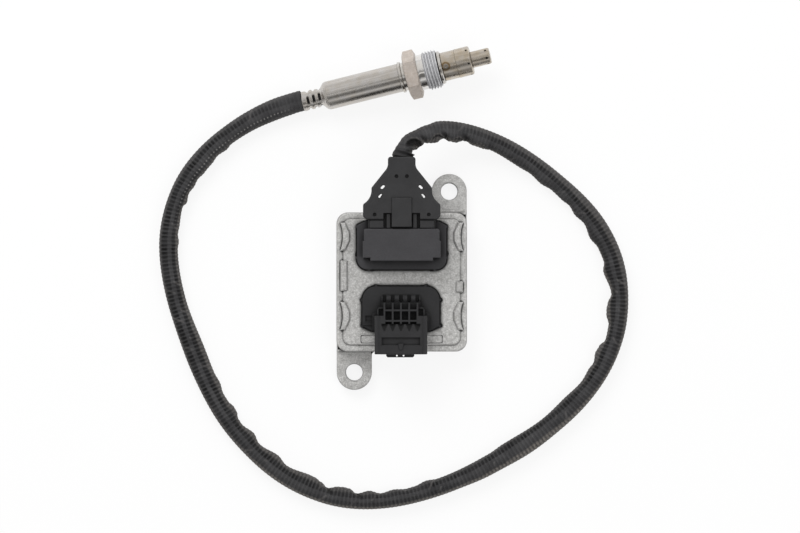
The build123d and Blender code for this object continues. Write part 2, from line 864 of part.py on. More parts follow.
# Vehicle header: flange, socket that opens to -Y, and a rear block with a waffle of ribs in its roof
with BuildPart() as vehicle_header:
    with BuildSketch(Plane.XY.offset(flange_bottom)):
        add(vehicle_flange.sketch)
    extrude(amount=flange_thickness)
    fillet(edges_at(vehicle_header, flange_top), radius=flange_edge)
    with BuildSketch(Plane.XY.offset(flange_bottom)):
        with Locations(*vehicle_nubs):
            Circle(nub_radius)
        mirror(about=Plane.YZ.offset(vehicle_x))
    extrude(amount=flange_thickness - nub_drop)
    # Low skirt round the socket's body, a pocket and a bar beside it on the flange
    with BuildSketch(Plane.XY.offset(flange_top)) as skirt:
        with Locations((vehicle_x, (skirt_high + vehicle_flange_low) / 2)):
            Rectangle(2 * skirt_half, skirt_high - vehicle_flange_low)
        fillet(skirt.vertices().group_by(Axis.Y)[-1], radius=shoulder_corner)
    extrude(amount=skirt_rise)
    with BuildSketch(Plane.XY.offset(flange_top)):
        with Locations((flange_pocket_x, flange_pocket_y)):
            Rectangle(flange_pocket_side, flange_pocket_length)
    extrude(amount=-flange_pocket_depth, mode=Mode.SUBTRACT)
    with BuildSketch(Plane.XY.offset(flange_top)):
        with Locations((flange_bar_x, flange_bar_y)):
            Rectangle(vehicle_flange_half - skirt_half, flange_bar_width)
    extrude(amount=flange_bar_rise)
    # Body of the socket, with a raised roof between its lower sides
    with BuildSketch(Plane.XZ.offset(-vehicle_body_high)) as body_face:
        add(
            mirrored_outline(
                [
                    (vehicle_x, flange_top),
                    (vehicle_x + vehicle_body_half, flange_top),
                    (vehicle_x + vehicle_body_half, vehicle_side_top),
                    (vehicle_x + vehicle_roof_half + vehicle_roof_step, vehicle_side_top),
                    (vehicle_x + vehicle_roof_half, shroud_top),
                    (vehicle_x, shroud_top),
                ],
                vehicle_x,
            )
        )
        side_corners = body_face.vertices().group_by(Axis.X)
        fillet(
            [side_corners[0].sort_by(Axis.Y)[-1], side_corners[-1].sort_by(Axis.Y)[-1]],
            radius=vehicle_body_edge,
        )
    extrude(amount=vehicle_body_high - vehicle_body_low)
    mouth = vehicle_header.faces().sort_by(Axis.Y)[0]
    fillet(mouth.edges().sort_by(Axis.Z)[1:], radius=vehicle_mouth_edge)
    with BuildSketch(Plane.XY.offset(flange_top)) as shoulders:
        with Locations((vehicle_x, (shoulder_high + vehicle_body_high) / 2)):
            Rectangle(2 * shoulder_half, shoulder_length)
        fillet(shoulders.vertices().group_by(Axis.Y)[-1], radius=shoulder_corner)
    extrude(amount=shoulder_top - flange_top)
    # Rear block: a hollow ramp up to the floor of the pockets, then the block of the ribs
    with BuildSketch(Plane.YZ.offset(vehicle_x - vehicle_rear_half)):
        with BuildLine():
            Polyline(
                (grid_high, grid_floor),
                (vehicle_body_high, grid_floor),
                (vehicle_body_high, flange_top),
                (vehicle_rear_high, flange_top),
                (vehicle_rear_high, flange_top + ramp_foot),
            )
            Bezier(
                (vehicle_rear_high, flange_top + ramp_foot),
                (grid_high, flange_top + ramp_foot),
                (grid_high, grid_floor),
            )
        make_face()
    extrude(amount=2 * vehicle_rear_half)
    with BuildSketch(Plane.XY.offset(grid_floor)):
        with Locations((vehicle_x, (grid_high + vehicle_body_high) / 2)):
            Rectangle(2 * grid_half, grid_high - vehicle_body_high)
    extrude(amount=grid_depth)
    # Rows of deep pockets between the ribs and in both shoulders
    with BuildSketch(Plane.XY.offset(shroud_top)):
        row_high = grid_high
        for row_length in grid_row_lengths:
            with Locations(*[(x, row_high - row_length / 2) for x in grid_columns]):
                Rectangle(vehicle_pitch - grid_rib, row_length)
            row_high -= row_length + grid_rib
    extrude(amount=-grid_depth, mode=Mode.SUBTRACT)
    with BuildSketch(Plane.XY.offset(shroud_top)):
        with Locations((shoulder_pocket_x, shoulder_pocket_y)):
            Rectangle(shoulder_pocket, shoulder_length - shoulder_wall)
        mirror(about=Plane.YZ.offset(vehicle_x))
    extrude(amount=-grid_depth, mode=Mode.SUBTRACT)
    # Slots through the ramp behind each rib
    with BuildSketch(Plane.XY.offset(grid_floor)):
        with Locations(*[(x, grid_high + slot_setback + slot_length / 2) for x in vehicle_row]):
            SlotOverall(slot_length, slot_width, rotation=90)
    extrude(amount=-(grid_floor - flange_top - slot_floor), mode=Mode.SUBTRACT)
    # Pointed scallops in front of each rib, whose floors rise to the roof
    scallop_plane = Plane(
        origin=(0, grid_low, shroud_top - scallop_depth),
        x_dir=(1, 0, 0),
        z_dir=(0, scallop_depth, scallop_length),
    )
    for scallop_x in vehicle_row:
        with BuildSketch(scallop_plane) as scallop:
            add(
                mirrored_outline(
                    [
                        (scallop_x, 0),
                        (scallop_x + scallop_half, 0),
                        (scallop_x + scallop_tip_half, -scallop_slope),
                        (scallop_x, -scallop_slope),
                    ],
                    scallop_x,
                )
            )
            fillet(scallop.vertices().group_by(Axis.Y)[0], radius=scallop_tip_round)
        extrude(amount=scallop_depth, dir=(0, 0, 1), mode=Mode.SUBTRACT)
    # Latch window between two low ribs, with a pointed catch
    with BuildSketch(Plane.XY.offset(shroud_top)):
        with Locations((vehicle_x, latch_y)):
            Rectangle(2 * latch_half, latch_length)
    extrude(amount=-latch_depth, mode=Mode.SUBTRACT)
    with BuildSketch(Plane.XY.offset(shroud_top)):
        with Locations((vehicle_x + latch_half + latch_rib_width / 2, latch_y)):
            Rectangle(latch_rib_width, latch_length)
        mirror(about=Plane.YZ.offset(vehicle_x))
    extrude(amount=latch_rib_rise)
    catch_face = mirrored_outline(
        [
            (vehicle_x, catch_low + catch_length),
            (vehicle_x + catch_half, catch_low + catch_length),
            (vehicle_x + catch_tip_half, catch_low),
            (vehicle_x, catch_low),
        ],
        vehicle_x,
    )
    with BuildSketch(Plane.XY.offset(shroud_top - latch_depth)):
        add(catch_face)
    extrude(amount=latch_depth + catch_rise)
    with BuildSketch(Plane.XY.offset(flange_bottom)):
        with Locations((vehicle_x, vehicle_blade_row)):
            Rectangle(2 * vehicle_spigot_half, spigot_width)
    extrude(amount=spigot_bottom - flange_bottom)
    # Lower lip in front of the socket, with two small holes
    with BuildSketch(Plane.XY.offset(flange_top)) as lip:
        with Locations((lip_x, vehicle_body_low)):
            Rectangle(2 * lip_half, 2 * lip_length)
        chamfer(lip.vertices().group_by(Axis.Y)[0], length=lip_corner)
    extrude(amount=lip_thickness)
    with BuildSketch(Plane.XZ.offset(-vehicle_socket_floor)):
        with Locations((vehicle_x, connector_axis)):
            RectangleRounded(2 * vehicle_socket_half, 2 * socket_half_height, socket_corner)
    extrude(amount=vehicle_socket_floor - lip_low + open_end, mode=Mode.SUBTRACT)
    with BuildSketch(Plane.XY.offset(flange_top)):
        lip_y = (vehicle_body_low + lip_low) / 2
        with Locations((lip_x + lip_hole_half, lip_y), (lip_x - lip_hole_half, lip_y)):
            Circle(lip_hole_radius)
    extrude(amount=lip_thickness, mode=Mode.SUBTRACT)
    add(vehicle_header_pins.part, mode=Mode.SUBTRACT)
save(vehicle_header, "vehicle_header")

# Gasket under the vehicle header's flange
with BuildPart() as vehicle_header_seal:
    with BuildSketch(Plane.XY.offset(plateau_top)):
        add(vehicle_flange.sketch)
        offset(amount=header_seal_proud)
        offset(vehicle_flange.sketch, amount=-header_seal_width, mode=Mode.SUBTRACT)
    extrude(amount=header_seal_thickness)
save(vehicle_header_seal, "vehicle_header_seal")

# Places of the backshell, which grips the plug's rear end
backshell_half = sensor_shroud_half + backshell_side
foot_end = backshell_mouth + backshell_foot_length
flare_end = foot_end + backshell_flare_length
neck_start = flare_end + backshell_roof_length
backshell_end = neck_start + backshell_neck_length
waist_half = backshell_half - backshell_flare_depth
sleeve_seat = backshell_end - sleeve_grip
notch_high = backshell_mouth + backshell_notch_length
rail_inner = tongue_half + rail_tongue_gap
rail_outer = rail_inner + rail_width
notch_half = rail_outer + rail_notch_gap
rail_middle = (rail_inner + rail_outer) / 2
shoulder_outer = plug_half - plug_shoulder_side
plug_shoulder_front = sensor_shroud_high + plug_shoulder_gap
plug_shoulder_rear = backshell_mouth - plug_shoulder_gap
plug_shoulder_y = (plug_shoulder_front + plug_shoulder_rear) / 2
rail_front = seal_rear + rail_seal_gap
rail_rear = notch_high - plug_shoulder_gap
plug_shoulder_top = shroud_top - plug_shoulder_drop
plug_roof = connector_axis + plug_half_height
cavity_side = terminal_side + 2 * terminal_gap

# Cable plug: a block with one cavity for each terminal, and rails and shoulders on its roof
with BuildPart() as plug_housing:
    with BuildSketch(Plane.XZ.offset(-plug_front)):
        with Locations((0, connector_axis)):
            RectangleRounded(2 * plug_half, 2 * plug_half_height, plug_corner)
    extrude(amount=-(plug_rear - plug_front))
    with BuildSketch(Plane.XZ.offset(-(plug_rear - plug_collar_setback))):
        with Locations((0, connector_axis)):
            Rectangle(2 * (plug_half + plug_collar_rise), 2 * (plug_half_height + plug_collar_rise))
    extrude(amount=plug_collar_length)
    with BuildSketch(Plane.XY.offset(plug_roof)):
        with Locations((rail_middle, (rail_front + plug_shoulder_front) / 2)):
            Rectangle(rail_width, plug_shoulder_front - rail_front)
        mirror(about=Plane.YZ)
    extrude(amount=rail_rise)
    with BuildSketch(Plane.XY.offset(plug_roof)):
        with Locations((rail_middle, (plug_shoulder_front + rail_rear) / 2)):
            Rectangle(rail_width, rail_rear - plug_shoulder_front)
        with Locations(((notch_half + shoulder_outer) / 2, plug_shoulder_y)):
            Rectangle(shoulder_outer - notch_half, plug_shoulder_rear - plug_shoulder_front)
        mirror(about=Plane.YZ)
    extrude(amount=plug_shoulder_top - plug_roof)
    # Groove for the plug seal
    with BuildSketch(Plane.XZ.offset(-seal_front)):
        with Locations((0, connector_axis)):
            Rectangle(4 * plug_half, 4 * plug_half_height)
            Rectangle(
                2 * (plug_half - seal_depth), 2 * (plug_half_height - seal_depth),
                mode=Mode.SUBTRACT,
            )
    extrude(amount=-seal_width, mode=Mode.SUBTRACT)
    # Cavities from the rear, and narrow windows for the blades in front
    with BuildSketch(Plane.XZ.offset(-terminal_start)):
        with Locations(*[(x, connector_axis) for x in sensor_row]):
            Rectangle(cavity_side, cavity_side)
    extrude(amount=-(plug_rear - terminal_start), mode=Mode.SUBTRACT)
    with BuildSketch(Plane.XZ.offset(-plug_front)):
        with Locations(*[(x, connector_axis) for x in sensor_row]):
            Rectangle(blade_window, blade_window)
    extrude(amount=-(terminal_start - plug_front), mode=Mode.SUBTRACT)
save(plug_housing, "plug_housing")

# Rubber ring between the plug and the sensor header's shroud
with BuildPart() as plug_seal:
    with BuildSketch(Plane.XZ.offset(-seal_front - seal_gap)):
        with Locations((0, connector_axis)):
            RectangleRounded(
                2 * (sensor_socket_half - seal_gap), 2 * (socket_half_height - seal_gap), socket_corner
            )
            Rectangle(
                2 * (plug_half - seal_depth + seal_gap),
                2 * (plug_half_height - seal_depth + seal_gap),
                mode=Mode.SUBTRACT,
            )
    extrude(amount=-(seal_width - 2 * seal_gap))
save(plug_seal, "plug_seal")

# Eight terminals, each with a socket for its blade
with BuildPart() as plug_terminals:
    with BuildSketch(Plane.XZ.offset(-terminal_start)):
        with Locations(*[(x, connector_axis) for x in sensor_row]):
            Rectangle(terminal_side, terminal_side)
    extrude(amount=-(terminal_end - terminal_start))
    with BuildSketch(Plane.XZ.offset(-terminal_start)):
        with Locations(*[(x, connector_axis) for x in sensor_row]):
            Rectangle(blade_slot, blade_slot)
    extrude(amount=-blade_slot_length, mode=Mode.SUBTRACT)
save(plug_terminals, "plug_terminals")

# Eight small seals round the wires at the plug's rear
with BuildPart() as wire_seals:
    with BuildSketch(Plane.XZ.offset(-wire_seal_start)):
        with Locations(*[(x, connector_axis) for x in sensor_row]):
            Circle(terminal_side / 2)
            Circle(wire_radius + wire_gap, mode=Mode.SUBTRACT)
    extrude(amount=-wire_seal_length)
save(wire_seals, "wire_seals")


def bundle_places(ring_radius_value):
    """Places of a wire bundle: one in the middle and the others round it, in order of X."""
    around = sensor_ways - 1
    ring = [
        (
            ring_radius_value * math.cos(math.radians(360 * turn / around + wire_ring_turn)),
            ring_radius_value * math.sin(math.radians(360 * turn / around + wire_ring_turn)),
        )
        for turn in range(around)
    ]
    return sorted(ring + [(0, 0)])


# Wires from the terminals to the end of the sleeve
wire_fan_start = plug_rear + 2 * wire_radius
wire_fan_end = sleeve_seat - 3 * wire_radius
with BuildPart() as plug_wires:
    for start_x, (end_x, end_z) in zip(sensor_row, bundle_places(wire_ring_radius)):
        with BuildLine():
            path = FilletPolyline(
                (start_x, terminal_end, connector_axis),
                (start_x, wire_fan_start, connector_axis),
                (end_x, wire_fan_end, connector_axis + end_z),
                (end_x, sleeve_seat, connector_axis + end_z),
                radius=2 * wire_radius,
            )
        with BuildSketch(Plane(path @ 0, z_dir=(0, 1, 0))):
            Circle(wire_radius)
        sweep(path=path)
save(plug_wires, "plug_wires")

# Top view of the backshell: a wide foot that flares in to the waist, a sloping roof and a neck
with BuildSketch() as backshell_outline:
    with BuildLine():
        foot = Polyline(
            (0, backshell_mouth),
            (backshell_half - backshell_low_chamfer, backshell_mouth),
            (backshell_half, backshell_mouth + backshell_low_chamfer),
            (backshell_half, foot_end),
        )
        flare = ThreePointArc(
            foot @ 1,
            (
                (backshell_half + waist_half) / 2 - backshell_flare_bow,
                (foot_end + flare_end) / 2 - backshell_flare_bow / 2,
            ),
            (waist_half, flare_end),
        )
        Polyline(
            flare @ 1,
            (backshell_neck_half, neck_start),
            (backshell_neck_half, backshell_end),
            (0, backshell_end),
        )
        mirror(about=Plane.YZ)
    make_face()
    fillet(backshell_outline.vertices().group_by(Axis.Y)[-1], radius=backshell_corner)
    fillet(
        backshell_outline.vertices().filter_by(lambda corner: abs(corner.Y - flare_end) < 0.01),
        radius=backshell_corner,
    )
    fillet(
        backshell_outline.vertices().filter_by(lambda corner: abs(corner.Y - foot_end) < 0.01),
        radius=backshell_corner,
    )
    fillet(
        backshell_outline.vertices().filter_by(lambda corner: abs(corner.Y - neck_start) < 0.01),
        radius=backshell_neck_root,
    )


def backshell_shell(direction, notched):
    """One hollow half of the backshell, open at the split plane."""
    with BuildPart() as half:
        with BuildSketch(Plane.XY.offset(connector_axis)):
            add(backshell_outline.sketch)
        extrude(amount=direction * backshell_half_height)
        fillet(
            edges_at(half, connector_axis + direction * backshell_half_height),
            radius=backshell_edge,
        )
        if notched:
            with BuildSketch(Plane.XY.offset(connector_axis)):
                with Locations((0, (backshell_mouth + notch_high) / 2)):
                    Rectangle(2 * notch_half, notch_high - backshell_mouth)
            extrude(amount=backshell_half_height, mode=Mode.SUBTRACT)
        with BuildSketch(Plane.XY.offset(connector_axis)):
            offset(backshell_outline.sketch, amount=-backshell_wall)
            with Locations((0, backshell_end)):
                Rectangle(
                    4 * backshell_neck_half, 2 * (sleeve_grip + 2 * backshell_wall),
                    mode=Mode.SUBTRACT,
                )
        extrude(amount=direction * (backshell_half_height - backshell_wall), mode=Mode.SUBTRACT)
        with BuildSketch(Plane.XZ.offset(-backshell_mouth)):
            with Locations((0, connector_axis)):
                Rectangle(
                    2 * (plug_half + backshell_mouth_gap), 2 * (plug_half_height + backshell_mouth_gap)
                )
        extrude(amount=-(backshell_wall + open_end), mode=Mode.SUBTRACT)
        with BuildSketch(Plane.XZ.offset(-sleeve_seat)):
            with Locations((0, connector_axis)):
                Circle(sleeve_radius + sleeve_gap)
        extrude(amount=-(sleeve_grip + open_end), mode=Mode.SUBTRACT)
        with BuildSketch(Plane.XZ.offset(-sleeve_seat)):
            with Locations((0, connector_axis)):
                Circle(wire_ring_radius + wire_radius + wire_outlet_gap)
        extrude(amount=2 * backshell_wall + open_end, mode=Mode.SUBTRACT)
        # See-through ovals beside the wires
        with BuildSketch(Plane.XY.offset(connector_axis)):
            with Locations((upper_oval_x, flare_end + upper_oval_rise)):
                SlotOverall(oval_length, oval_width, rotation=-45)
            with Locations((lower_oval_x, flare_end + upper_oval_rise - oval_spacing)):
                SlotOverall(oval_length, oval_width, rotation=-45)
            mirror(about=Plane.YZ)
        extrude(amount=direction * (backshell_half_height + open_end), mode=Mode.SUBTRACT)
    return half


tongue_low = backshell_mouth - tongue_front
tongue_high = tongue_low + tongue_length
dimple_places = [
    (foot_dimple_x, backshell_mouth + foot_dimple_margin),
    (roof_dimple_x, neck_start - roof_dimple_drop),
]

# Upper half of the backshell, with a tongue over the plug
with BuildPart() as backshell_top:
    add(backshell_shell(1, True).part)
    with BuildSketch(Plane.XY.offset(connector_axis + backshell_half_height - backshell_wall)):
        with Locations((0, (tongue_low + tongue_high) / 2)):
            Rectangle(2 * tongue_half, tongue_high - tongue_low)
    extrude(amount=backshell_wall + tongue_rise)
    fillet(
        edges_at(backshell_top, connector_axis + backshell_half_height + tongue_rise),
        radius=tongue_edge,
    )
    with BuildSketch(Plane.XY.offset(connector_axis + backshell_half_height)):
        with Locations(*dimple_places):
            Circle(dimple_radius)
        mirror(about=Plane.YZ)
    extrude(amount=-dimple_depth, mode=Mode.SUBTRACT)
save(backshell_top, "backshell_top")

# Lower half of the backshell
with BuildPart() as backshell_bottom:
    add(backshell_shell(-1, False).part)
save(backshell_bottom, "backshell_bottom")

# Radii of the probe, from its thread outwards and inwards
nut_bore = nut_thread_radius - nut_thread_wall
tube_radius = nut_bore - nut_running_gap
tube_bore = tube_radius - tube_wall
crimp_bore = crimp_radius - tube_wall
crimp_groove_radius = crimp_radius - crimp_groove_depth
ring_radius = tube_radius + ring_rise
collar_radius = tube_radius + collar_rise
body_bore_radius = tube_radius - body_wall
body_throat_radius = body_bore_radius - body_throat_step
outer_cap_radius = tube_radius + cap_step
outer_cap_bore = outer_cap_radius - cap_wall
nut_flat_radius = nut_across_flats / 2
nut_corner_radius = nut_flat_radius / math.cos(math.radians(30))
nut_relief_radius = nut_thread_radius - nut_relief_depth

# Stations of the probe, one after the other along its axis
shoulder_station = crimp_length + cone_length
tube_end = shoulder_station + tube_length
ring_end = tube_end + ring_width
nut_start = ring_end + ring_nut_gap
nut_edge_station = nut_start + nut_hex_chamfer
nut_hex_end = nut_start + nut_hex_length
nut_relief_end = nut_hex_end + nut_relief_length
nut_end = nut_relief_end + nut_thread_length
collar_start = nut_end + nut_end_play
collar_end = collar_start + collar_width
spigot_end = collar_end + spigot_length
seam_station = collar_end + outer_cap_seam
outer_cap_end = collar_end + outer_cap_length
tip_end = outer_cap_end + tip_reach
body_tail = tube_end - body_press
bush_start = body_tail + bush_setback
talc_start = bush_start + rear_bush_length
front_bush_start = talc_start + talc_length
front_bush_end = front_bush_start + front_bush_length
carrier_start = body_tail - carrier_body_gap - carrier_length
grommet_front = crimp_length - grommet_setback
element_start = carrier_start + element_setback
element_end = tip_end - element_tip_room

# The probe rests on its tube's rear shoulder and on the rear edge of the nut's hexagon
probe_tilt = math.atan((nut_flat_radius - tube_radius) / (nut_edge_station - shoulder_station))
probe_tail_z = tube_radius * math.cos(probe_tilt) - shoulder_station * math.sin(probe_tilt)
heading = math.radians(probe_heading)
probe_direction = Vector(
    math.cos(probe_tilt) * math.cos(heading),
    math.cos(probe_tilt) * math.sin(heading),
    math.sin(probe_tilt),
)
probe_side = Vector(math.sin(heading), -math.cos(heading), 0)
probe_up = probe_side.cross(probe_direction)
probe_tail = Vector(probe_tail_x, probe_tail_y, probe_tail_z)
probe_axis = Axis(probe_tail, probe_direction)

# Half section of the probe: stations along X, radii along Y
probe_section = Plane(origin=probe_tail, x_dir=probe_direction, z_dir=probe_side)


def across(station):
    """Plane square to the probe's axis, with X to the side and Y upwards."""
    return Plane(
        origin=probe_tail + probe_direction * station, x_dir=probe_side * -1, z_dir=probe_direction
    )


def vent_planes(station):
    """Planes on the probe's axis that look out through each vent hole of a ring."""
    planes = []
    for turn in range(vent_count):
        angle = math.radians(vent_phase + turn * 360 / vent_count)
        outward = probe_up * math.cos(angle) - probe_side * math.sin(angle)
        planes.append(Plane(origin=probe_tail + probe_direction * station, z_dir=outward))
    return planes


def corners_at(sketch, station, radius):
    """Corners of a half section at one station and radius."""
    return sketch.vertices().filter_by(
        lambda corner: abs(corner.X - station) < 0.001 and abs(corner.Y - radius) < 0.001
    )


# Rear tube of thin steel, drawn down to a grooved neck that is crimped on the grommet
with BuildPart() as rear_tube:
    groove_pitch = crimp_length / (crimp_grooves + 1)
    with BuildSketch(probe_section) as tube_profile:
        with BuildLine():
            outside = [(0, crimp_radius)]
            for groove in range(crimp_grooves):
                groove_at = groove_pitch * (groove + 1)
                outside.append((groove_at - crimp_groove_half, crimp_radius))
                outside.append((groove_at - crimp_groove_floor_half, crimp_groove_radius))
                outside.append((groove_at + crimp_groove_floor_half, crimp_groove_radius))
                outside.append((groove_at + crimp_groove_half, crimp_radius))
            outside.append((crimp_length, crimp_radius))
            outside.append((shoulder_station, tube_radius))
            outside.append((tube_end, tube_radius))
            inside = [
                (tube_end, tube_bore),
                (shoulder_station, tube_bore),
                (crimp_length, crimp_bore),
                (0, crimp_bore),
            ]
            Polyline(*outside, *inside, close=True)
        make_face()
        groove_corners = tube_profile.vertices().filter_by(
            lambda corner: 0.01 < corner.X < crimp_length - 0.01 and corner.Y > crimp_bore + 0.01
        )
        fillet(groove_corners, radius=crimp_groove_round)
    revolve(axis=probe_axis)
save(rear_tube, "rear_tube")

# Turned body that carries the ceramic parts, with the seat collar in front of the nut
with BuildPart() as probe_body:
    with BuildSketch(probe_section) as body_profile:
        with BuildLine():
            Polyline(
                (body_tail, tube_bore - packing_gap),
                (tube_end, tube_bore - packing_gap),
                (tube_end, ring_radius),
                (ring_end, ring_radius),
                (ring_end, tube_radius),
                (collar_start, tube_radius),
                (collar_start, collar_radius),
                (collar_end, collar_radius),
                (collar_end, outer_cap_bore - packing_gap),
                (spigot_end, outer_cap_bore - packing_gap),
                (spigot_end, body_throat_radius),
                (front_bush_end, body_throat_radius),
                (front_bush_end, body_bore_radius),
                (body_tail, body_bore_radius),
                close=True,
            )
        make_face()
        fillet(corners_at(body_profile, tube_end, ring_radius), radius=ring_edge)
        fillet(corners_at(body_profile, ring_end, ring_radius), radius=ring_edge)
        chamfer(corners_at(body_profile, collar_start, collar_radius), length=collar_edge)
        chamfer(corners_at(body_profile, collar_end, collar_radius), length=collar_edge)
    revolve(axis=probe_axis)
save(probe_body, "probe_body")

# Union nut that turns freely on the body: hexagon, relief and thread in one piece
with BuildPart() as union_nut:
    with BuildSketch(across(nut_start)):
        RegularPolygon(radius=nut_flat_radius, side_count=6, major_radius=False)
    extrude(amount=nut_hex_length)
    with BuildSketch(probe_section):
        with BuildLine():
            Polyline(
                (nut_start, 0),
                (nut_start, nut_flat_radius - nut_hex_face),
                (nut_edge_station, nut_corner_radius - nut_hex_corner),
                (nut_hex_end - nut_hex_chamfer, nut_corner_radius - nut_hex_corner),
                (nut_hex_end, nut_flat_radius - nut_hex_face),
                (nut_hex_end, 0),
                close=True,
            )
        make_face()
    revolve(axis=probe_axis, mode=Mode.INTERSECT)
    with BuildSketch(probe_section) as shank_profile:
        with BuildLine():
            Polyline(
                (nut_start + nut_hex_chamfer, 0),
                (nut_start + nut_hex_chamfer, nut_relief_radius),
                (nut_relief_end, nut_relief_radius),
                (nut_relief_end + nut_thread_chamfer, nut_thread_radius),
                (nut_end - nut_thread_chamfer, nut_thread_radius),
                (nut_end, nut_thread_radius - nut_thread_chamfer),
                (nut_end, 0),
                close=True,
            )
        make_face()
        fillet(corners_at(shank_profile, nut_relief_end, nut_relief_radius), radius=nut_relief_round)
    revolve(axis=probe_axis)
    with BuildSketch(across(nut_start)):
        Circle(nut_bore)
    extrude(amount=nut_end - nut_start, mode=Mode.SUBTRACT)
save(union_nut, "union_nut")

# Outer protection cap with a round front edge and a ring of vent holes behind it
with BuildPart() as outer_cap:
    with BuildSketch(probe_section) as cap_profile:
        with BuildLine():
            Polyline(
                (collar_end, outer_cap_bore),
                (collar_end, outer_cap_radius - cap_step),
                (seam_station - cap_step, outer_cap_radius - cap_step),
                (seam_station, outer_cap_radius + cap_step),
                (seam_station + cap_wall, outer_cap_radius),
                (outer_cap_end, outer_cap_radius),
                (outer_cap_end, tip_radius + packing_gap),
                (outer_cap_end - cap_wall, tip_radius + packing_gap),
                (outer_cap_end - cap_wall, outer_cap_bore),
                close=True,
            )
        make_face()
        fillet(corners_at(cap_profile, outer_cap_end, outer_cap_radius), radius=cap_edge)
        fillet(
            corners_at(cap_profile, outer_cap_end - cap_wall, outer_cap_bore),
            radius=cap_edge - cap_wall,
        )
    revolve(axis=probe_axis)
    with BuildSketch(*vent_planes(outer_cap_end - outer_vent_setback)):
        Circle(vent_radius)
    extrude(amount=outer_cap_radius + cap_wall, mode=Mode.SUBTRACT)
save(outer_cap, "outer_cap")

tip_bore = tip_radius - cap_wall
tip_flange_radius = outer_cap_bore - packing_gap

# Inner protection tube: its flange seats on the body, and its closed tip stands out of the cap
with BuildPart() as inner_cap:
    with BuildSketch(probe_section) as tip_profile:
        with BuildLine():
            Polyline(
                (spigot_end, tip_bore),
                (spigot_end, tip_flange_radius),
                (spigot_end + cap_wall, tip_flange_radius),
                (spigot_end + cap_wall, tip_radius),
                (tip_end, tip_radius),
                (tip_end, 0),
                (tip_end - cap_wall, 0),
                (tip_end - cap_wall, tip_bore),
                close=True,
            )
        make_face()
        fillet(corners_at(tip_profile, tip_end, tip_radius), radius=cap_edge)
        fillet(corners_at(tip_profile, tip_end - cap_wall, tip_bore), radius=cap_edge - cap_wall)
    revolve(axis=probe_axis)
    with BuildSketch(*vent_planes(tip_end - tip_vent_setback)):
        Circle(vent_radius)
    extrude(amount=tip_radius + cap_wall, mode=Mode.SUBTRACT)
save(inner_cap, "inner_cap")

slot_wide = element_width + 2 * element_gap
slot_high = element_thickness + 2 * element_gap
packing_radius = body_bore_radius - packing_gap

# Two ceramic bushes that guide the element
with BuildPart() as ceramic_bushes:
    for bush_at, bush_length in (
        (bush_start, rear_bush_length),
        (front_bush_start, front_bush_length),
    ):
        with BuildSketch(across(bush_at)):
            Circle(packing_radius)
            Rectangle(slot_wide, slot_high, mode=Mode.SUBTRACT)
        extrude(amount=bush_length)
save(ceramic_bushes, "ceramic_bushes")

# Pressed talc between the bushes, tight on the element
with BuildPart() as talc_packing:
    with BuildSketch(across(talc_start)):
        Circle(packing_radius)
        Rectangle(element_width, element_thickness, mode=Mode.SUBTRACT)
    extrude(amount=talc_length)
save(talc_packing, "talc_packing")

# Flat ceramic sensing element, from the contacts to the tip
with BuildPart() as sensing_element:
    with BuildSketch(across(element_start)):
        Rectangle(element_width, element_thickness)
    extrude(amount=element_end - element_start)
    chamfer(sensing_element.faces().sort_by(probe_axis)[-1].edges(), length=element_edge)
save(sensing_element, "sensing_element")

# Ceramic carrier round the contacts
with BuildPart() as contact_carrier:
    with BuildSketch(across(carrier_start)):
        Circle(tube_bore - packing_gap)
        Rectangle(carrier_window_width, carrier_window_height, mode=Mode.SUBTRACT)
    extrude(amount=carrier_length)
save(contact_carrier, "contact_carrier")

contact_row = row_positions(contacts_per_side, contact_pitch, 0)
window_wall = carrier_window_height / 2
leaf_seat = window_wall - contact_thickness
element_face = element_thickness / 2
leaf_back = element_face + contact_thickness
leaf_down = carrier_start + contact_run
touch_start = leaf_down + contact_slope
touch_end = touch_start + contact_touch
leaf_up = touch_end + contact_slope
leaf_end = leaf_up + contact_tail

# Leaf contacts: each springs from the window's wall down to the element's face
with BuildPart() as contact_springs:
    for side in (1, -1):
        for contact_x in contact_row:
            leaf_plane = Plane(
                origin=probe_tail - probe_side * (contact_x + contact_width / 2),
                x_dir=probe_direction,
                z_dir=probe_side,
            )
            with BuildSketch(leaf_plane):
                with BuildLine():
                    Polyline(
                        (carrier_start, side * leaf_seat),
                        (leaf_down, side * leaf_seat),
                        (touch_start, side * element_face),
                        (touch_end, side * element_face),
                        (leaf_up, side * leaf_seat),
                        (leaf_end, side * leaf_seat),
                        (leaf_end, side * window_wall),
                        (leaf_up - contact_bend, side * window_wall),
                        (touch_end - contact_bend, side * leaf_back),
                        (touch_start + contact_bend, side * leaf_back),
                        (leaf_down + contact_bend, side * window_wall),
                        (carrier_start, side * window_wall),
                        close=True,
                    )
                make_face()
            extrude(amount=contact_width)
save(contact_springs, "contact_springs")

lead_places = bundle_places(lead_ring_radius)

# Rubber grommet crimped in the neck, with one hole for each wire
with BuildPart() as cable_grommet:
    with BuildSketch(across(0)):
        Circle(crimp_bore - packing_gap)
        with Locations(*lead_places):
            Circle(wire_radius + wire_gap, mode=Mode.SUBTRACT)
    extrude(amount=grommet_front)
save(cable_grommet, "cable_grommet")

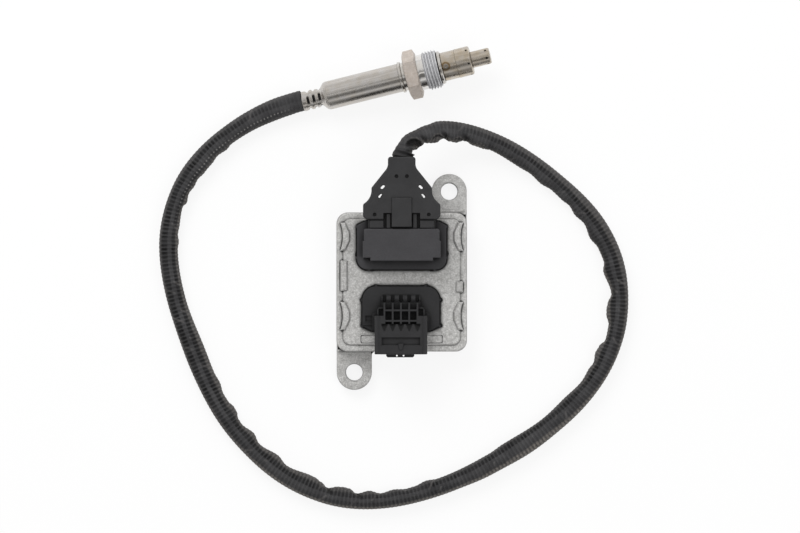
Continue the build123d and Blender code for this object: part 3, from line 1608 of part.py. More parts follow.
# Wires from the sleeve's end through the grommet to the contacts
leaf_middle = window_wall - contact_thickness / 2
upper_leads = [place for place in lead_places if place[1] > 0.1]
lower_leads = [place for place in lead_places if place[1] <= 0.1]
contact_places = [(x, leaf_middle) for x in contact_row] + [(x, -leaf_middle) for x in contact_row]
neck_frame = across(0)
with BuildPart() as lead_wires:
    for (start_x, start_y), (end_x, end_y) in zip(upper_leads + lower_leads, contact_places):
        corners = [
            (start_x, start_y, 0),
            (start_x, start_y, grommet_front + lead_straight),
            (end_x, end_y, carrier_start - lead_landing),
            (end_x, end_y, carrier_start),
        ]
        with BuildLine():
            path = FilletPolyline(
                *[neck_frame.from_local_coords(corner) for corner in corners],
                radius=2 * wire_radius,
            )
        with BuildSketch(Plane(path @ 0, z_dir=probe_direction)):
            Circle(wire_radius)
        sweep(path=path)
save(lead_wires, "lead_wires")

# Sleeve: out of the backshell's neck, down to the floor and round to the probe's crimp
floor_run = (probe_tail_z - sleeve_radius) / math.sin(probe_tilt)
floor_point = probe_tail - probe_direction * floor_run
sleeve_route = [
    (0, sleeve_seat, connector_axis),
    (0, 67.5, connector_axis),
    (6.5, 75.5, 23.2),
    (27, 78.5, 14.5),
    (55, 69, 6.4),
    (84, 48, sleeve_radius),
    (108, 18, sleeve_radius),
    (112.5, -20, sleeve_radius),
    (96, -56, sleeve_radius),
    (62, -84, sleeve_radius),
    (22, -105.5, sleeve_radius),
    (-22, -114.5, sleeve_radius),
    (-60, -102, sleeve_radius),
    (-90, -72, sleeve_radius),
    (-107, -35, sleeve_radius),
    (-119.5, 7, sleeve_radius),
    (-117.5, 38.5, sleeve_radius),
    (-103, 64.5, sleeve_radius),
    (-80, 82, sleeve_radius),
    (floor_point.X, floor_point.Y, sleeve_radius),
    (probe_tail.X, probe_tail.Y, probe_tail.Z),
]


def bend_radii(points):
    """The largest radius that each corner's two runs allow."""
    radii = []
    for before, corner, after in zip(points, points[1:], points[2:]):
        run_in = Vector(*corner) - Vector(*before)
        run_out = Vector(*after) - Vector(*corner)
        half_turn = math.radians(run_in.get_angle(run_out)) / 2
        shorter = min(run_in.length, run_out.length)
        radii.append(0.45 * shorter / math.tan(half_turn))
    return radii


sleeve_radii = bend_radii(sleeve_route)
print("sleeve radii", [round(radius, 1) for radius in sleeve_radii])
with BuildPart() as sleeve:
    with BuildLine():
        route = FilletPolyline(*sleeve_route, radius=sleeve_radii)
    with BuildSketch(Plane(route @ 0, z_dir=(0, 1, 0))):
        Circle(sleeve_radius)
    sweep(path=route)
straight_volume = math.pi * sleeve_radius**2 * route.length
print("sleeve length", round(route.length, 1))
print("sleeve volume over section times length", round(sleeve.part.volume / straight_volume, 4))
save(sleeve, "sleeve")
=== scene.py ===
import json
import math

import bpy
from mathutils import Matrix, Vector, noise


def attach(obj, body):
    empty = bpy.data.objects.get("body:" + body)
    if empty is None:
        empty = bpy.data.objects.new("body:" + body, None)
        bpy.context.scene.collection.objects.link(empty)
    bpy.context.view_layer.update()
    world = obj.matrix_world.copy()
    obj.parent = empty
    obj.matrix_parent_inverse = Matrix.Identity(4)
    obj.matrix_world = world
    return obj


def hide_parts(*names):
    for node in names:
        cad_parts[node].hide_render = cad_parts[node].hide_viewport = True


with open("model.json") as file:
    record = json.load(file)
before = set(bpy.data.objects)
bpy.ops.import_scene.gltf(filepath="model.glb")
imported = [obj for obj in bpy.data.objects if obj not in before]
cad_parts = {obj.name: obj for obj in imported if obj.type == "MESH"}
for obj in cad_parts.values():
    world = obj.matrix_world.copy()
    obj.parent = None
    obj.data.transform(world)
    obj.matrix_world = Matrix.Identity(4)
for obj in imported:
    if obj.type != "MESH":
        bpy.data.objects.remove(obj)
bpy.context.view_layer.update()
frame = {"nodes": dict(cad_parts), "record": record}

# Lengths are in metres, in the part's own frame: +Z up, +Y to the top of the photograph.
MM = 0.001

# The photograph: pixels to the millimetre, and the pixel of the part's origin
PHOTO_WIDTH = 800
PHOTO_HEIGHT = 533
PIXELS_PER_MM = 1.96
ORIGIN_PIXEL = (401.7, 282.0)
CAMERA_HEIGHT = 2.2
PHOTO_PLANE = 0.014

# The probe's place, as in the part's solids
TUBE_RADIUS = 7.3
SHOULDER_STATION = 14.4
NUT_FLAT_RADIUS = 11.0
NUT_EDGE = 55.9
PROBE_HEADING = math.radians(13.7)
PROBE_TILT = math.atan((NUT_FLAT_RADIUS - TUBE_RADIUS) / (NUT_EDGE - SHOULDER_STATION))
PROBE_TAIL = Vector((
    -50.8,
    92.2,
    TUBE_RADIUS * math.cos(PROBE_TILT) - SHOULDER_STATION * math.sin(PROBE_TILT),
)) * MM
PROBE_DIRECTION = Vector((
    math.cos(PROBE_TILT) * math.cos(PROBE_HEADING),
    math.cos(PROBE_TILT) * math.sin(PROBE_HEADING),
    math.sin(PROBE_TILT),
))
PROBE_SIDE = Vector((math.sin(PROBE_HEADING), -math.cos(PROBE_HEADING), 0))
PROBE_UP = PROBE_SIDE.cross(PROBE_DIRECTION)
PROBE_TURN = (0, -PROBE_TILT, PROBE_HEADING)


# Node helpers

def new_material(name):
    """An empty node material with its Principled shader and a shader for its place in space."""
    material = bpy.data.materials.new(name)
    material.use_nodes = True
    tree = material.node_tree
    shader = tree.nodes["Principled BSDF"]
    place = tree.nodes.new("ShaderNodeTexCoord")
    return material, tree, shader, place.outputs["Object"]


def link(tree, source, target):
    tree.links.new(source, target)


def noise_node(tree, vector, scale, detail=3.0, roughness=0.5, distortion=0.0):
    node = tree.nodes.new("ShaderNodeTexNoise")
    node.inputs["Scale"].default_value = scale
    node.inputs["Detail"].default_value = detail
    node.inputs["Roughness"].default_value = roughness
    node.inputs["Distortion"].default_value = distortion
    link(tree, vector, node.inputs["Vector"])
    return node.outputs["Fac"]


def ramp(tree, factor, stops):
    """A colour ramp; each stop is its position and its colour or grey."""
    node = tree.nodes.new("ShaderNodeValToRGB")
    elements = node.color_ramp.elements
    while len(elements) < len(stops):
        elements.new(0.5)
    for element, (position, colour) in zip(elements, stops):
        if not hasattr(colour, "__len__"):
            colour = (colour, colour, colour)
        element.position = position
        element.color = (*colour, 1.0)
    link(tree, factor, node.inputs["Fac"])
    return node.outputs["Color"]


def maths(tree, operation, first, second=None):
    node = tree.nodes.new("ShaderNodeMath")
    node.operation = operation
    for socket, value in zip(node.inputs, (first, second)):
        if value is None:
            continue
        if isinstance(value, (int, float)):
            socket.default_value = value
        else:
            link(tree, value, socket)
    return node.outputs["Value"]


def product(tree, *factors):
    result = factors[0]
    for factor in factors[1:]:
        result = maths(tree, "MULTIPLY", result, factor)
    return result


def away_from(tree, value, middle):
    return maths(tree, "ABSOLUTE", maths(tree, "SUBTRACT", value, middle))


def mix_colours(tree, factor, first, second, blend="MIX"):
    node = tree.nodes.new("ShaderNodeMix")
    node.data_type = "RGBA"
    node.blend_type = blend
    for index, value in ((0, factor), (6, first), (7, second)):
        socket = node.inputs[index]
        if isinstance(value, (int, float)):
            socket.default_value = value
        elif hasattr(value, "__len__"):
            socket.default_value = (*value, 1.0)
        else:
            link(tree, value, socket)
    return node.outputs[2]


def bump(tree, shader, height, strength, distance, previous=None):
    node = tree.nodes.new("ShaderNodeBump")
    node.inputs["Strength"].default_value = strength
    node.inputs["Distance"].default_value = distance
    link(tree, height, node.inputs["Height"])
    if previous is not None:
        link(tree, previous, node.inputs["Normal"])
    link(tree, node.outputs["Normal"], shader.inputs["Normal"])
    return node.outputs["Normal"]


def parts_of(tree, vector):
    node = tree.nodes.new("ShaderNodeSeparateXYZ")
    link(tree, vector, node.inputs[0])
    return node.outputs["X"], node.outputs["Y"], node.outputs["Z"]


def stretched(tree, vector, scale):
    """Coordinates with X along the probe, each direction scaled."""
    node = tree.nodes.new("ShaderNodeMapping")
    # This type turns the other way first, and then divides by the scale
    node.vector_type = "TEXTURE"
    node.inputs["Rotation"].default_value = PROBE_TURN
    node.inputs["Scale"].default_value = [1 / part for part in scale]
    link(tree, vector, node.inputs["Vector"])
    return node.outputs["Vector"]


def attribute(tree, name):
    node = tree.nodes.new("ShaderNodeAttribute")
    node.attribute_name = name
    return node.outputs["Fac"]


def occlusion(tree, distance, inside=False):
    """How open a place is: low in grooves and corners, or with inside, low at outer edges."""
    node = tree.nodes.new("ShaderNodeAmbientOcclusion")
    node.samples = 8
    node.inside = inside
    node.inputs["Distance"].default_value = distance
    return node.outputs["AO"]


def rounded_edges(tree, radius):
    node = tree.nodes.new("ShaderNodeBevel")
    node.samples = 6
    node.inputs["Radius"].default_value = radius
    return node.outputs["Normal"]


def darken(tree, colour, shade):
    return mix_colours(tree, 1.0, colour, shade, "MULTIPLY")


def crevices(tree, distance, low, high, darkest):
    """A shade that is darkest in grooves and corners, and white where a place is open."""
    return ramp(tree, occlusion(tree, distance), [(low, darkest), (high, 1.0)])


def steep_sides(tree, low, high):
    """A shade that is dark on steep sides, and white on what lies level."""
    turned = tree.nodes.new("ShaderNodeTexCoord").outputs["Normal"]
    level = maths(tree, "ABSOLUTE", parts_of(tree, turned)[2])
    return ramp(tree, level, [(low, 0.45), (high, 1.0)])


def connect(tree, shader, colour, roughness, metallic=0.0):
    link(tree, colour, shader.inputs["Base Color"])
    link(tree, roughness, shader.inputs["Roughness"])
    shader.inputs["Metallic"].default_value = metallic


def colour_over(material, factor, colour, blend="MIX"):
    """Mixes one more colour into the base colour of a finished material."""
    tree = material.node_tree
    target = tree.nodes["Principled BSDF"].inputs["Base Color"]
    link(tree, mix_colours(tree, factor, target.links[0].from_socket, colour, blend), target)


def add_object(name, data):
    item = bpy.data.objects.new(name, data)
    bpy.context.scene.collection.objects.link(item)
    return item


# Camera

def photo_point(pixel_x, pixel_y):
    """The place in the part's frame that a pixel of the photograph shows."""
    x = (pixel_x - ORIGIN_PIXEL[0]) / PIXELS_PER_MM
    y = (ORIGIN_PIXEL[1] - pixel_y) / PIXELS_PER_MM
    return Vector((x, y, 0)) * MM


def make_camera():
    data = bpy.data.cameras.new("camera")
    camera = add_object("camera", data)
    middle = photo_point(PHOTO_WIDTH / 2, PHOTO_HEIGHT / 2)
    camera.location = (middle.x, middle.y, CAMERA_HEIGHT)
    camera.rotation_euler = (0, 0, 0)
    width = PHOTO_WIDTH / PIXELS_PER_MM * MM
    data.sensor_fit = "HORIZONTAL"
    data.sensor_width = 36
    data.lens = data.sensor_width * (CAMERA_HEIGHT - PHOTO_PLANE) / width
    data.clip_start = 0.1
    data.clip_end = 20
    bpy.context.scene.camera = camera


make_camera()


# Sleeve: the route of the part's solid, in millimetres
SLEEVE_ROUTE_MM = [
    (0, 57.5, 25.8),
    (0, 67.5, 25.8),
    (6.5, 75.5, 23.2),
    (27, 78.5, 14.5),
    (55, 69, 6.4),
    (84, 48, 4.75),
    (108, 18, 4.75),
    (112.5, -20, 4.75),
    (96, -56, 4.75),
    (62, -84, 4.75),
    (22, -105.5, 4.75),
    (-22, -114.5, 4.75),
    (-60, -102, 4.75),
    (-90, -72, 4.75),
    (-107, -35, 4.75),
    (-119.5, 7, 4.75),
    (-117.5, 38.5, 4.75),
    (-103, 64.5, 4.75),
    (-80, 82, 4.75),
    (-64.34, 88.90, 4.75),
    (-50.8, 92.2, 5.992),
]
SLEEVE_RADIUS = 4.75
SLEEVE_STEP = 0.4 * MM
SLEEVE_AROUND = 48
RIB_PITCH = 2.0
RIB_DEPTH = 0.15

# How far before its end in the crimped neck the sleeve begins to be round, and is round
SLEEVE_TAIL = (7.0, 2.0)

# Collar of bunched pleats where the sleeve leaves the backshell: from and to along the line
COLLAR = (5.4, 8.9)
COLLAR_EASE = 0.6
PLEAT_PITCH = 3.4

# Folds of the inner side of the bends: the place along the line, and how far the edge lies outside
# or inside of the round sleeve, both in millimetres
FOLDS = [
    (11, -0.3), (14, 1.4), (21, 1.3), (23, 0.3), (27, 1.4), (31, 1.5), (37, -0.2), (40, 1.3),
    (44, 1.4), (49, -0.5), (54, 0.9), (60, 0.9), (63, -0.3), (82, 0.4), (88, 0.0), (96, 0.8),
    (103, -0.3), (110, -0.3), (115, -1.0), (121, 0.1), (127, -0.7), (136, 1.1), (143, -0.2),
    (151, -0.4), (156, 1.1), (169, -1.4), (174, 0.5), (177, 1.0), (180, 0.8), (186, -1.2),
    (194, -1.6), (198, 0.2), (202, 0.7), (208, -0.8), (212, -0.3), (219, -0.8), (233, 0.2),
    (249, -0.5), (273, 0.5), (282, -0.1), (312, -0.6), (318, 0.2), (325, -1.0), (329, -1.2),
    (336, -0.3), (343, -1.3), (349, 0.3), (356, -1.3), (360, 0.8), (363, 1.1), (366, 0.8),
    (372, -1.1), (376, 0.7), (380, 1.8), (383, 1.9), (397, 0.2), (404, 1.8), (416, -0.3),
    (422, 1.3), (430, -0.5), (433, -0.3), (437, 1.2), (440, 1.4), (444, 0.4), (449, 0.2),
    (455, 1.1), (461, 0.5), (474, 0.7), (502, -0.7), (529, -0.8), (533, -0.3), (537, -1.0),
    (542, -0.7), (552, -1.2), (555, 0.1), (560, -0.7), (565, 0.1), (569, -0.2), (574, 0.7),
    (581, 0.8), (586, 0.1), (592, 0.8), (596, 0.0), (618, 0.7), (639, 0.0),
]
FOLD_SLANT = 0.8

# Lens-shaped facets under the first folds: from, to and how many degrees each reaches over the sleeve
FACETS = [(23.5, 36.5, 62), (37.5, 48.5, 50), (49.5, 62.5, 42)]
FACET_DEPTH = 0.75

# The deep oval dent beside the collar: its middle along the line and its angle from the top, its half
# length and half width, how much it leans, its depth and the height of its rim
DENT = (15.6, 40.0)
DENT_REACH = (4.9, 3.0)
DENT_LEAN = 0.55
DENT_DEPTH = 1.9
DENT_RIM = 0.30

# How far the outer side stands out along the sleeve, or lies in on the first bend
OUTER_SWELL = [
    (0, 0), (8, 0), (13, -1.2), (20, -1.9), (27, -1.1), (33, 0), (98, 0), (128, 1.0), (150, 1.0), (172, 0.7),
    (190, 1.0), (215, 1.1), (238, 1.1), (262, 1.6), (285, 0.8), (305, 0), (417, 0), (445, 0.4), (475, 0.8),
    (530, 0.9), (560, 0.6), (590, 0), (612, 0.2), (630, 1.0), (640, 1.3),
]


def smooth_line(route):
    """Points of the NURBS line that the route controls."""
    curve = bpy.data.curves.new("route", "CURVE")
    curve.dimensions = "3D"
    curve.resolution_u = 40
    spline = curve.splines.new("NURBS")
    spline.points.add(len(route) - 1)
    for point, place in zip(spline.points, route):
        point.co = (place[0] * MM, place[1] * MM, place[2] * MM, 1)
    spline.order_u = 3
    spline.use_endpoint_u = True
    holder = add_object("route", curve)
    mesh = bpy.data.meshes.new_from_object(holder)
    points = [vertex.co.copy() for vertex in mesh.vertices]
    bpy.data.objects.remove(holder)
    bpy.data.meshes.remove(mesh)
    return points


def even_points(points, step):
    """The same line with points at an even step."""
    lengths = [0.0]
    for before, after in zip(points, points[1:]):
        lengths.append(lengths[-1] + (after - before).length)
    total = lengths[-1]
    count = round(total / step)
    even = []
    index = 0
    for number in range(count + 1):
        target = total * number / count
        while index < len(points) - 2 and lengths[index + 1] < target:
            index += 1
        span = lengths[index + 1] - lengths[index]
        share = (target - lengths[index]) / span if span > 0 else 0
        even.append(points[index].lerp(points[index + 1], share))
    return even, total


def smoothstep(low, high, value):
    share = min(1, max(0, (value - low) / (high - low)))
    return share * share * (3 - 2 * share)


def between(stops, place):
    """The value of a list of places and values at a place, eased from one to the next."""
    if place <= stops[0][0]:
        return stops[0][1]
    for (low, first), (high, second) in zip(stops, stops[1:]):
        if place <= high:
            return first + (second - first) * smoothstep(low, high, place)
    return stops[-1][1]


def steps(low, high, size):
    """Even places from low to high, about a size apart."""
    count = max(1, round((high - low) / size))
    return [low + (high - low) * number / count for number in range(count + 1)]


def turns(around):
    """The angles of a ring's points."""
    return [math.tau * step / around for step in range(around)]


def ring_mesh(name, rows, loop=False):
    """A tube from rows of points, closed by two end faces, or by joining its last row to its first."""
    mesh = bpy.data.meshes.new(name)
    around = len(rows[0])
    vertices = [point for row in rows for point in row]
    faces = []
    for row in range(len(rows) if loop else len(rows) - 1):
        following = (row + 1) % len(rows)
        for column in range(around):
            beside = (column + 1) % around
            faces.append((
                row * around + column,
                row * around + beside,
                following * around + beside,
                following * around + column,
            ))
    if not loop:
        faces.append(tuple(reversed(range(around))))
        faces.append(tuple(range((len(rows) - 1) * around, len(rows) * around)))
    mesh.from_pydata(vertices, [], faces)
    mesh.update()
    return mesh


def add_attribute(mesh, name, values):
    layer = mesh.attributes.new(name, "FLOAT", "POINT")
    layer.data.foreach_set("value", values)


def add_piece(name, mesh, materials, body, replaced=(), sharp=None):
    piece = add_object(name, mesh)
    for material in materials:
        mesh.materials.append(material)
    mesh.polygons.foreach_set("use_smooth", [True] * len(mesh.polygons))
    if sharp:
        mesh.set_sharp_from_angle(angle=math.radians(sharp))
    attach(piece, body)
    if replaced:
        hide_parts(*replaced)
    return piece


def fold_shape(at, sine):
    """How far the folds move the sleeve's wall out, and how deep in a crease the place lies."""
    if sine <= 0:
        return 0.0, 0.0
    place = at + FOLD_SLANT * SLEEVE_RADIUS * (1 - sine)
    shift = between(FOLDS, place)
    hollow = (between(FOLDS, place - 3.2) + between(FOLDS, place + 3.2)) / 2 - shift
    crease = smoothstep(0.25, 1.3, hollow) * smoothstep(-0.1, 0.6, sine)
    return shift * smoothstep(0.0, 0.9, sine), crease


def facet_shape(at, angle):
    """The facets under the first folds: how deep, how shaded and how worn."""
    for start, end, reach in FACETS:
        if start < at < end and math.cos(angle) > -0.3 and math.sin(angle) > 0:
            arc = math.radians(90 - reach * math.sin(math.pi * (at - start) / (end - start)))
            over = (angle - arc) * SLEEVE_RADIUS
            deep = FACET_DEPTH * smoothstep(-0.1, 0.7, over) * (1 - smoothstep(3, 6, over))
            shade = 1 - smoothstep(0.25, 0.75, abs(over - 0.25))
            worn = max(smoothstep(0.6, 1.3, over), 1 - smoothstep(0.15, 0.5, abs(over + 0.6)))
            return deep, shade, worn
    return 0.0, 0.0, 0.0


def dent_shape(at, angle):
    """The oval dent with the rim on its upper side: how deep, how shaded and how worn."""
    if math.sin(angle) <= -0.5 or math.cos(angle) <= -0.7:
        return 0.0, 0.0, 0.0
    away = at - DENT[0]
    turn = (angle - math.radians(DENT[1])) * SLEEVE_RADIUS - DENT_LEAN * away
    reach = math.hypot(away / DENT_REACH[0], turn / DENT_REACH[1])
    deep = 1 - smoothstep(0.35, 1.0, reach)
    rim = math.exp(-(((reach - 1.12) / 0.11) ** 2)) * smoothstep(-0.2, 1.2, -turn)
    return DENT_DEPTH * deep - DENT_RIM * rim, 1 - smoothstep(0.80, 1.0, reach), 0.95 * rim


def pleat_shape(at, angle):
    """The pleats of the bunched collar: how far out, how shaded and how worn."""
    sine, cosine = math.sin(angle), math.cos(angle)
    uneven = noise.noise(Vector((cosine * 1.1, sine * 1.1, at * 0.45)))
    wave = math.sin(math.tau * (at - 5.2 + 0.9 * sine + 1.1 * uneven) / PLEAT_PITCH)
    out = 0.70 + 0.35 * uneven + 0.30 * wave + 0.35 * sine
    shade = max(0.5, 0.97 * smoothstep(-0.5, 0.7, 0.4 - wave))
    return out, shade, 0.45 * smoothstep(0.80, 0.97, wave)


def sleeve_rings():
    """The sleeve's rings of points, how much painted shade and how much wear each point has, and the line
    itself.
    """
    line, total = even_points(smooth_line(SLEEVE_ROUTE_MM), SLEEVE_STEP)
    count = len(line)
    last = total / MM
    start, end = COLLAR
    rings = []
    shades = []
    wear = []
    for index, centre in enumerate(line):
        tangent = (line[min(count - 1, index + 1)] - line[max(0, index - 1)]).normalized()
        side = tangent.cross(Vector((0, 0, 1))).normalized()
        top = side.cross(tangent)
        at = last * index / (count - 1)
        rib = 0.5 + 0.5 * math.cos(math.tau * at / RIB_PITCH)
        # Shares of the collar, of the part hidden in the backshell, and of the part free to fold
        collar = smoothstep(start, start + 0.5, at) - smoothstep(end - COLLAR_EASE, end, at)
        hidden = 1 - smoothstep(start - 0.4, start, at)
        free = smoothstep(end - COLLAR_EASE, end + COLLAR_EASE, at)
        free *= 1 - smoothstep(last - SLEEVE_TAIL[0], last - SLEEVE_TAIL[1], at)
        swell = noise.noise(Vector((at * 0.04, 0.3, 4.1)))
        ring = []
        for angle in turns(SLEEVE_AROUND):
            sine, cosine = math.sin(angle), math.cos(angle)
            shift, crease = fold_shape(at, sine)
            facet, facet_shade, facet_worn = facet_shape(at, angle)
            dent, dent_shade, dent_worn = dent_shape(at, angle)
            out, pleat_shade, pleat_worn = pleat_shape(at, angle)
            radius = SLEEVE_RADIUS - RIB_DEPTH * ((1 - rib) * (1 - hidden) + hidden)
            radius += (shift + 0.14 * swell) * free
            radius += between(OUTER_SWELL, at) * smoothstep(0.0, 0.9, -sine)
            radius += collar * out - facet - dent
            shade = max(0.0, crease * free, facet_shade, dent_shade, collar * pleat_shade)
            worn = max(0.0, facet_worn, dent_worn, collar * pleat_worn)
            place = centre + (top * cosine + side * sine) * radius * MM
            place.z = max(place.z, 0.0)
            ring.append(place)
            shades.append(min(1.0, shade))
            wear.append(min(1.0, worn))
        rings.append(ring)
    return rings, shades, wear, line, total


# How the look of the sleeve changes along it. Each stop: place in hundredths of the length, strength of the
# dark row on the outer side, of that on the inner side, middle of the plain stripe between them (0 at the
# outer edge,
# 1 at the inner), worn threads and painted highlight at the outer edge, the same at the inner edge, strength
# of the ribs.
SLEEVE_LOOK = [
    (0, 0.1, 0.1, 0.45, 0.05, 0.30, 0.3),
    (3, 0.1, 0.2, 0.50, 0.05, 0.65, 0.5),
    (7, 0.3, 0.2, 0.58, 0.10, 0.60, 0.6),
    (10, 0.8, 0.2, 0.60, 0.20, 0.55, 0.8),
    (17, 1.0, 0.1, 0.66, 0.25, 0.45, 0.8),
    (22, 1.0, 0.5, 0.62, 0.30, 0.45, 0.9),
    (26, 0.9, 0.9, 0.52, 0.30, 0.60, 1.0),
    (29, 0.7, 0.9, 0.48, 0.35, 0.55, 1.0),
    (32, 0.4, 1.0, 0.44, 0.75, 0.35, 1.0),
    (38, 0.15, 1.0, 0.54, 1.0, 0.10, 1.0),
    (45, 0.1, 0.9, 0.54, 1.0, 0.10, 1.0),
    (52, 0.6, 0.7, 0.50, 0.70, 0.10, 1.0),
    (59, 0.2, 0.8, 0.50, 0.90, 0.30, 1.0),
    (63, 0.1, 0.9, 0.52, 0.90, 0.40, 1.0),
    (67, 0.5, 0.9, 0.50, 0.40, 0.40, 0.8),
    (72, 1.0, 1.0, 0.46, 0.15, 0.45, 0.9),
    (81, 1.0, 1.0, 0.46, 0.10, 0.45, 1.0),
    (87, 1.0, 0.6, 0.50, 0.10, 0.60, 1.0),
    (91, 1.0, 0.2, 0.56, 0.10, 0.45, 0.9),
    (95, 0.8, 0.1, 0.58, 0.10, 0.30, 0.8),
    (98, 0.3, 0.1, 0.55, 0.10, 0.15, 0.5),
    (100, 0.1, 0.0, 0.55, 0.05, 0.05, 0.2),
]


# How far the dark rows, the worn edges with their painted highlight and the line of stitches lie from the
# middle of the stripe
ROW_PLACE = 0.24
EDGE_PLACE = 0.30
STITCH_PLACE = 0.20
GROOVE_BLACK = (0.012, 0.012, 0.0125)


def sleeve_material(length):
    """Black woven sleeve with dark rows, worn edges with a painted highlight, creases, stitches, and painted
    shade in its folds and grooves.
    """
    material, tree, shader, place = new_material("sleeve_weave")
    layer = tree.nodes.new("ShaderNodeUVMap")
    layer.uv_map = "along"
    around, along, _ = parts_of(tree, layer.outputs["UV"])
    share = maths(tree, "DIVIDE", along, length)
    first = ramp(tree, share, [(row[0] / 100, row[1:4]) for row in SLEEVE_LOOK])
    second = ramp(tree, share, [(row[0] / 100, row[4:7]) for row in SLEEVE_LOOK])
    row_outer, row_inner, middle = parts_of(tree, first)
    wear_and_highlight_outer, wear_and_highlight_inner, ribs = parts_of(tree, second)
    # Place across the sleeve as seen from above, 0 at the outer edge and 1 at the inner
    wobble = product(tree, maths(tree, "SUBTRACT", noise_node(tree, place, 55.0, 2.0), 0.5), 0.16)
    across = product(tree, maths(tree, "SINE", product(tree, around, math.tau)), 0.5)
    across = maths(tree, "ADD", maths(tree, "ADD", across, 0.5), wobble)
    off = maths(tree, "SUBTRACT", across, middle)
    # Ribs, with one tone for each
    wave = maths(tree, "COSINE", product(tree, along, math.tau / RIB_PITCH))
    rib = maths(tree, "ADD", product(tree, wave, 0.5), 0.5)
    gap = ramp(tree, rib, [(0.45, 1.0), (0.80, 0.0)])
    tones = tree.nodes.new("ShaderNodeTexWhiteNoise")
    tones.noise_dimensions = "1D"
    number = maths(tree, "FLOOR", maths(tree, "ADD", maths(tree, "DIVIDE", along, RIB_PITCH), 0.5))
    link(tree, number, tones.inputs["W"])
    uneven = maths(tree, "ADD", product(tree, tones.outputs["Value"], 0.5), 0.6)
    patches = ramp(tree, noise_node(tree, place, 210.0, 3.0, 0.6), [(0.35, 0.45), (0.62, 1.0)])
    row_a = ramp(tree, away_from(tree, off, -ROW_PLACE), [(0.10, 1.0), (0.16, 0.0)])
    row_b = ramp(tree, away_from(tree, off, ROW_PLACE), [(0.09, 1.0), (0.15, 0.0)])
    rows = maths(tree, "MAXIMUM", product(tree, row_a, row_outer), product(tree, row_b, row_inner))
    blocks = product(tree, rows, gap, uneven, patches)
    # Worn light threads with a painted highlight at both edges
    past_outer = product(tree, maths(tree, "ADD", off, EDGE_PLACE), -1.0)
    past_inner = maths(tree, "SUBTRACT", off, EDGE_PLACE)
    edge_a, edge_b = (ramp(tree, past, [(0.0, 0.0), (0.08, 1.0)]) for past in (past_outer, past_inner))
    worn_and_highlit_edges = maths(tree, "MAXIMUM", product(tree, edge_a, wear_and_highlight_outer), product(tree, edge_b, wear_and_highlight_inner))
    worn_and_highlit_edges = maths(tree, "MAXIMUM", worn_and_highlit_edges, product(tree, attribute(tree, "worn"), 0.7))
    threads = noise_node(tree, place, 900.0, 2.0, 0.6)
    ridge = maths(tree, "ADD", product(tree, rib, ribs, 0.75), 0.25)
    wear = product(tree, worn_and_highlit_edges, ridge, ramp(tree, threads, [(0.35, 0.45), (0.65, 1.0)]))
    cloud = noise_node(tree, place, 120.0, 4.0, 0.6)
    base = ramp(tree, cloud, [(0.3, (0.034, 0.0335, 0.035)), (0.7, (0.066, 0.065, 0.067))])
    base = mix_colours(tree, product(tree, gap, ribs, 0.26), base, GROOVE_BLACK)
    base = mix_colours(tree, product(tree, rows, 0.48), base, GROOVE_BLACK)
    base = mix_colours(tree, blocks, base, (0.001, 0.001, 0.001))
    base = mix_colours(tree, wear, base, (0.215, 0.195, 0.175))
    # Light slanting creases here and there
    slant = maths(tree, "ADD", product(tree, along, 0.42), product(tree, around, 9.0))
    crease = ramp(tree, maths(tree, "SINE", slant), [(0.93, 0.0), (0.995, 0.30)])
    some = ramp(tree, noise_node(tree, place, 75.0, 2.0), [(0.52, 0.0), (0.62, 1.0)])
    base = mix_colours(tree, product(tree, crease, some, ribs), base, (0.165, 0.155, 0.15))
    # One line of light stitches near the inner edge of the last bend
    stitched = ramp(tree, share, [(0.84, 0.0), (0.88, 1.0), (0.98, 1.0), (0.992, 0.0)])
    thread = ramp(tree, away_from(tree, off, STITCH_PLACE), [(0.022, 1.0), (0.040, 0.0)])
    stitches = product(tree, stitched, thread, ramp(tree, rib, [(0.55, 0.0), (0.75, 0.5)]))
    base = mix_colours(tree, stitches, base, (0.26, 0.25, 0.24))
    # Painted shade in grooves and folds
    base = darken(tree, base, crevices(tree, 0.0025, 0.35, 0.85, 0.30))
    # Painted shade, nearly black, in the creases, the dent, the facet lines and the collar's pleats
    base = mix_colours(tree, product(tree, attribute(tree, "shade"), 0.85), base, (0.003, 0.003, 0.003))
    connect(tree, shader, base, ramp(tree, threads, [(0.3, 0.62), (0.7, 0.78)]))
    shader.inputs["Specular IOR Level"].default_value = 0.25
    shader.inputs["Sheen Weight"].default_value = 0.18
    shader.inputs["Sheen Roughness"].default_value = 0.35
    shader.inputs["Sheen Tint"].default_value = (0.62, 0.52, 0.44, 1)
    warp = maths(tree, "SINE", product(tree, around, math.tau * 44))
    weft = maths(tree, "SINE", product(tree, along, math.tau / RIB_PITCH * 4))
    height = maths(tree, "ADD", rib, product(tree, warp, weft, 0.3))
    bump(tree, shader, height, 0.6, 0.00015)
    return material


def make_sleeve():
    rings, shades, wear, line, total = sleeve_rings()
    mesh = ring_mesh("sleeve_hose", rings)
    add_attribute(mesh, "shade", shades)
    add_attribute(mesh, "worn", wear)
    layer = mesh.uv_layers.new(name="along")
    step = total / MM / (len(rings) - 1)
    for polygon in mesh.polygons:
        if len(polygon.vertices) != 4:
            continue
        for corner, loop in enumerate(polygon.loop_indices):
            row, column = divmod(mesh.loops[loop].vertex_index, SLEEVE_AROUND)
            # The last column's faces end at 1 and not at 0
            share = 1.0 if corner in (1, 2) and column == 0 else column / SLEEVE_AROUND
            layer.data[loop].uv = (share, row * step)
    finish = sleeve_material(total / MM)
    piece = add_piece("sleeve_hose", mesh, [finish], "sensor", ("sleeve",))


make_sleeve()


# Floor, world and lamps

FLOOR_HALF = 4.0
FLOOR_DROP = 0.0002
# How much of the floor's look, where it is seen, is its own even light
FLOOR_LIGHT = 0.86


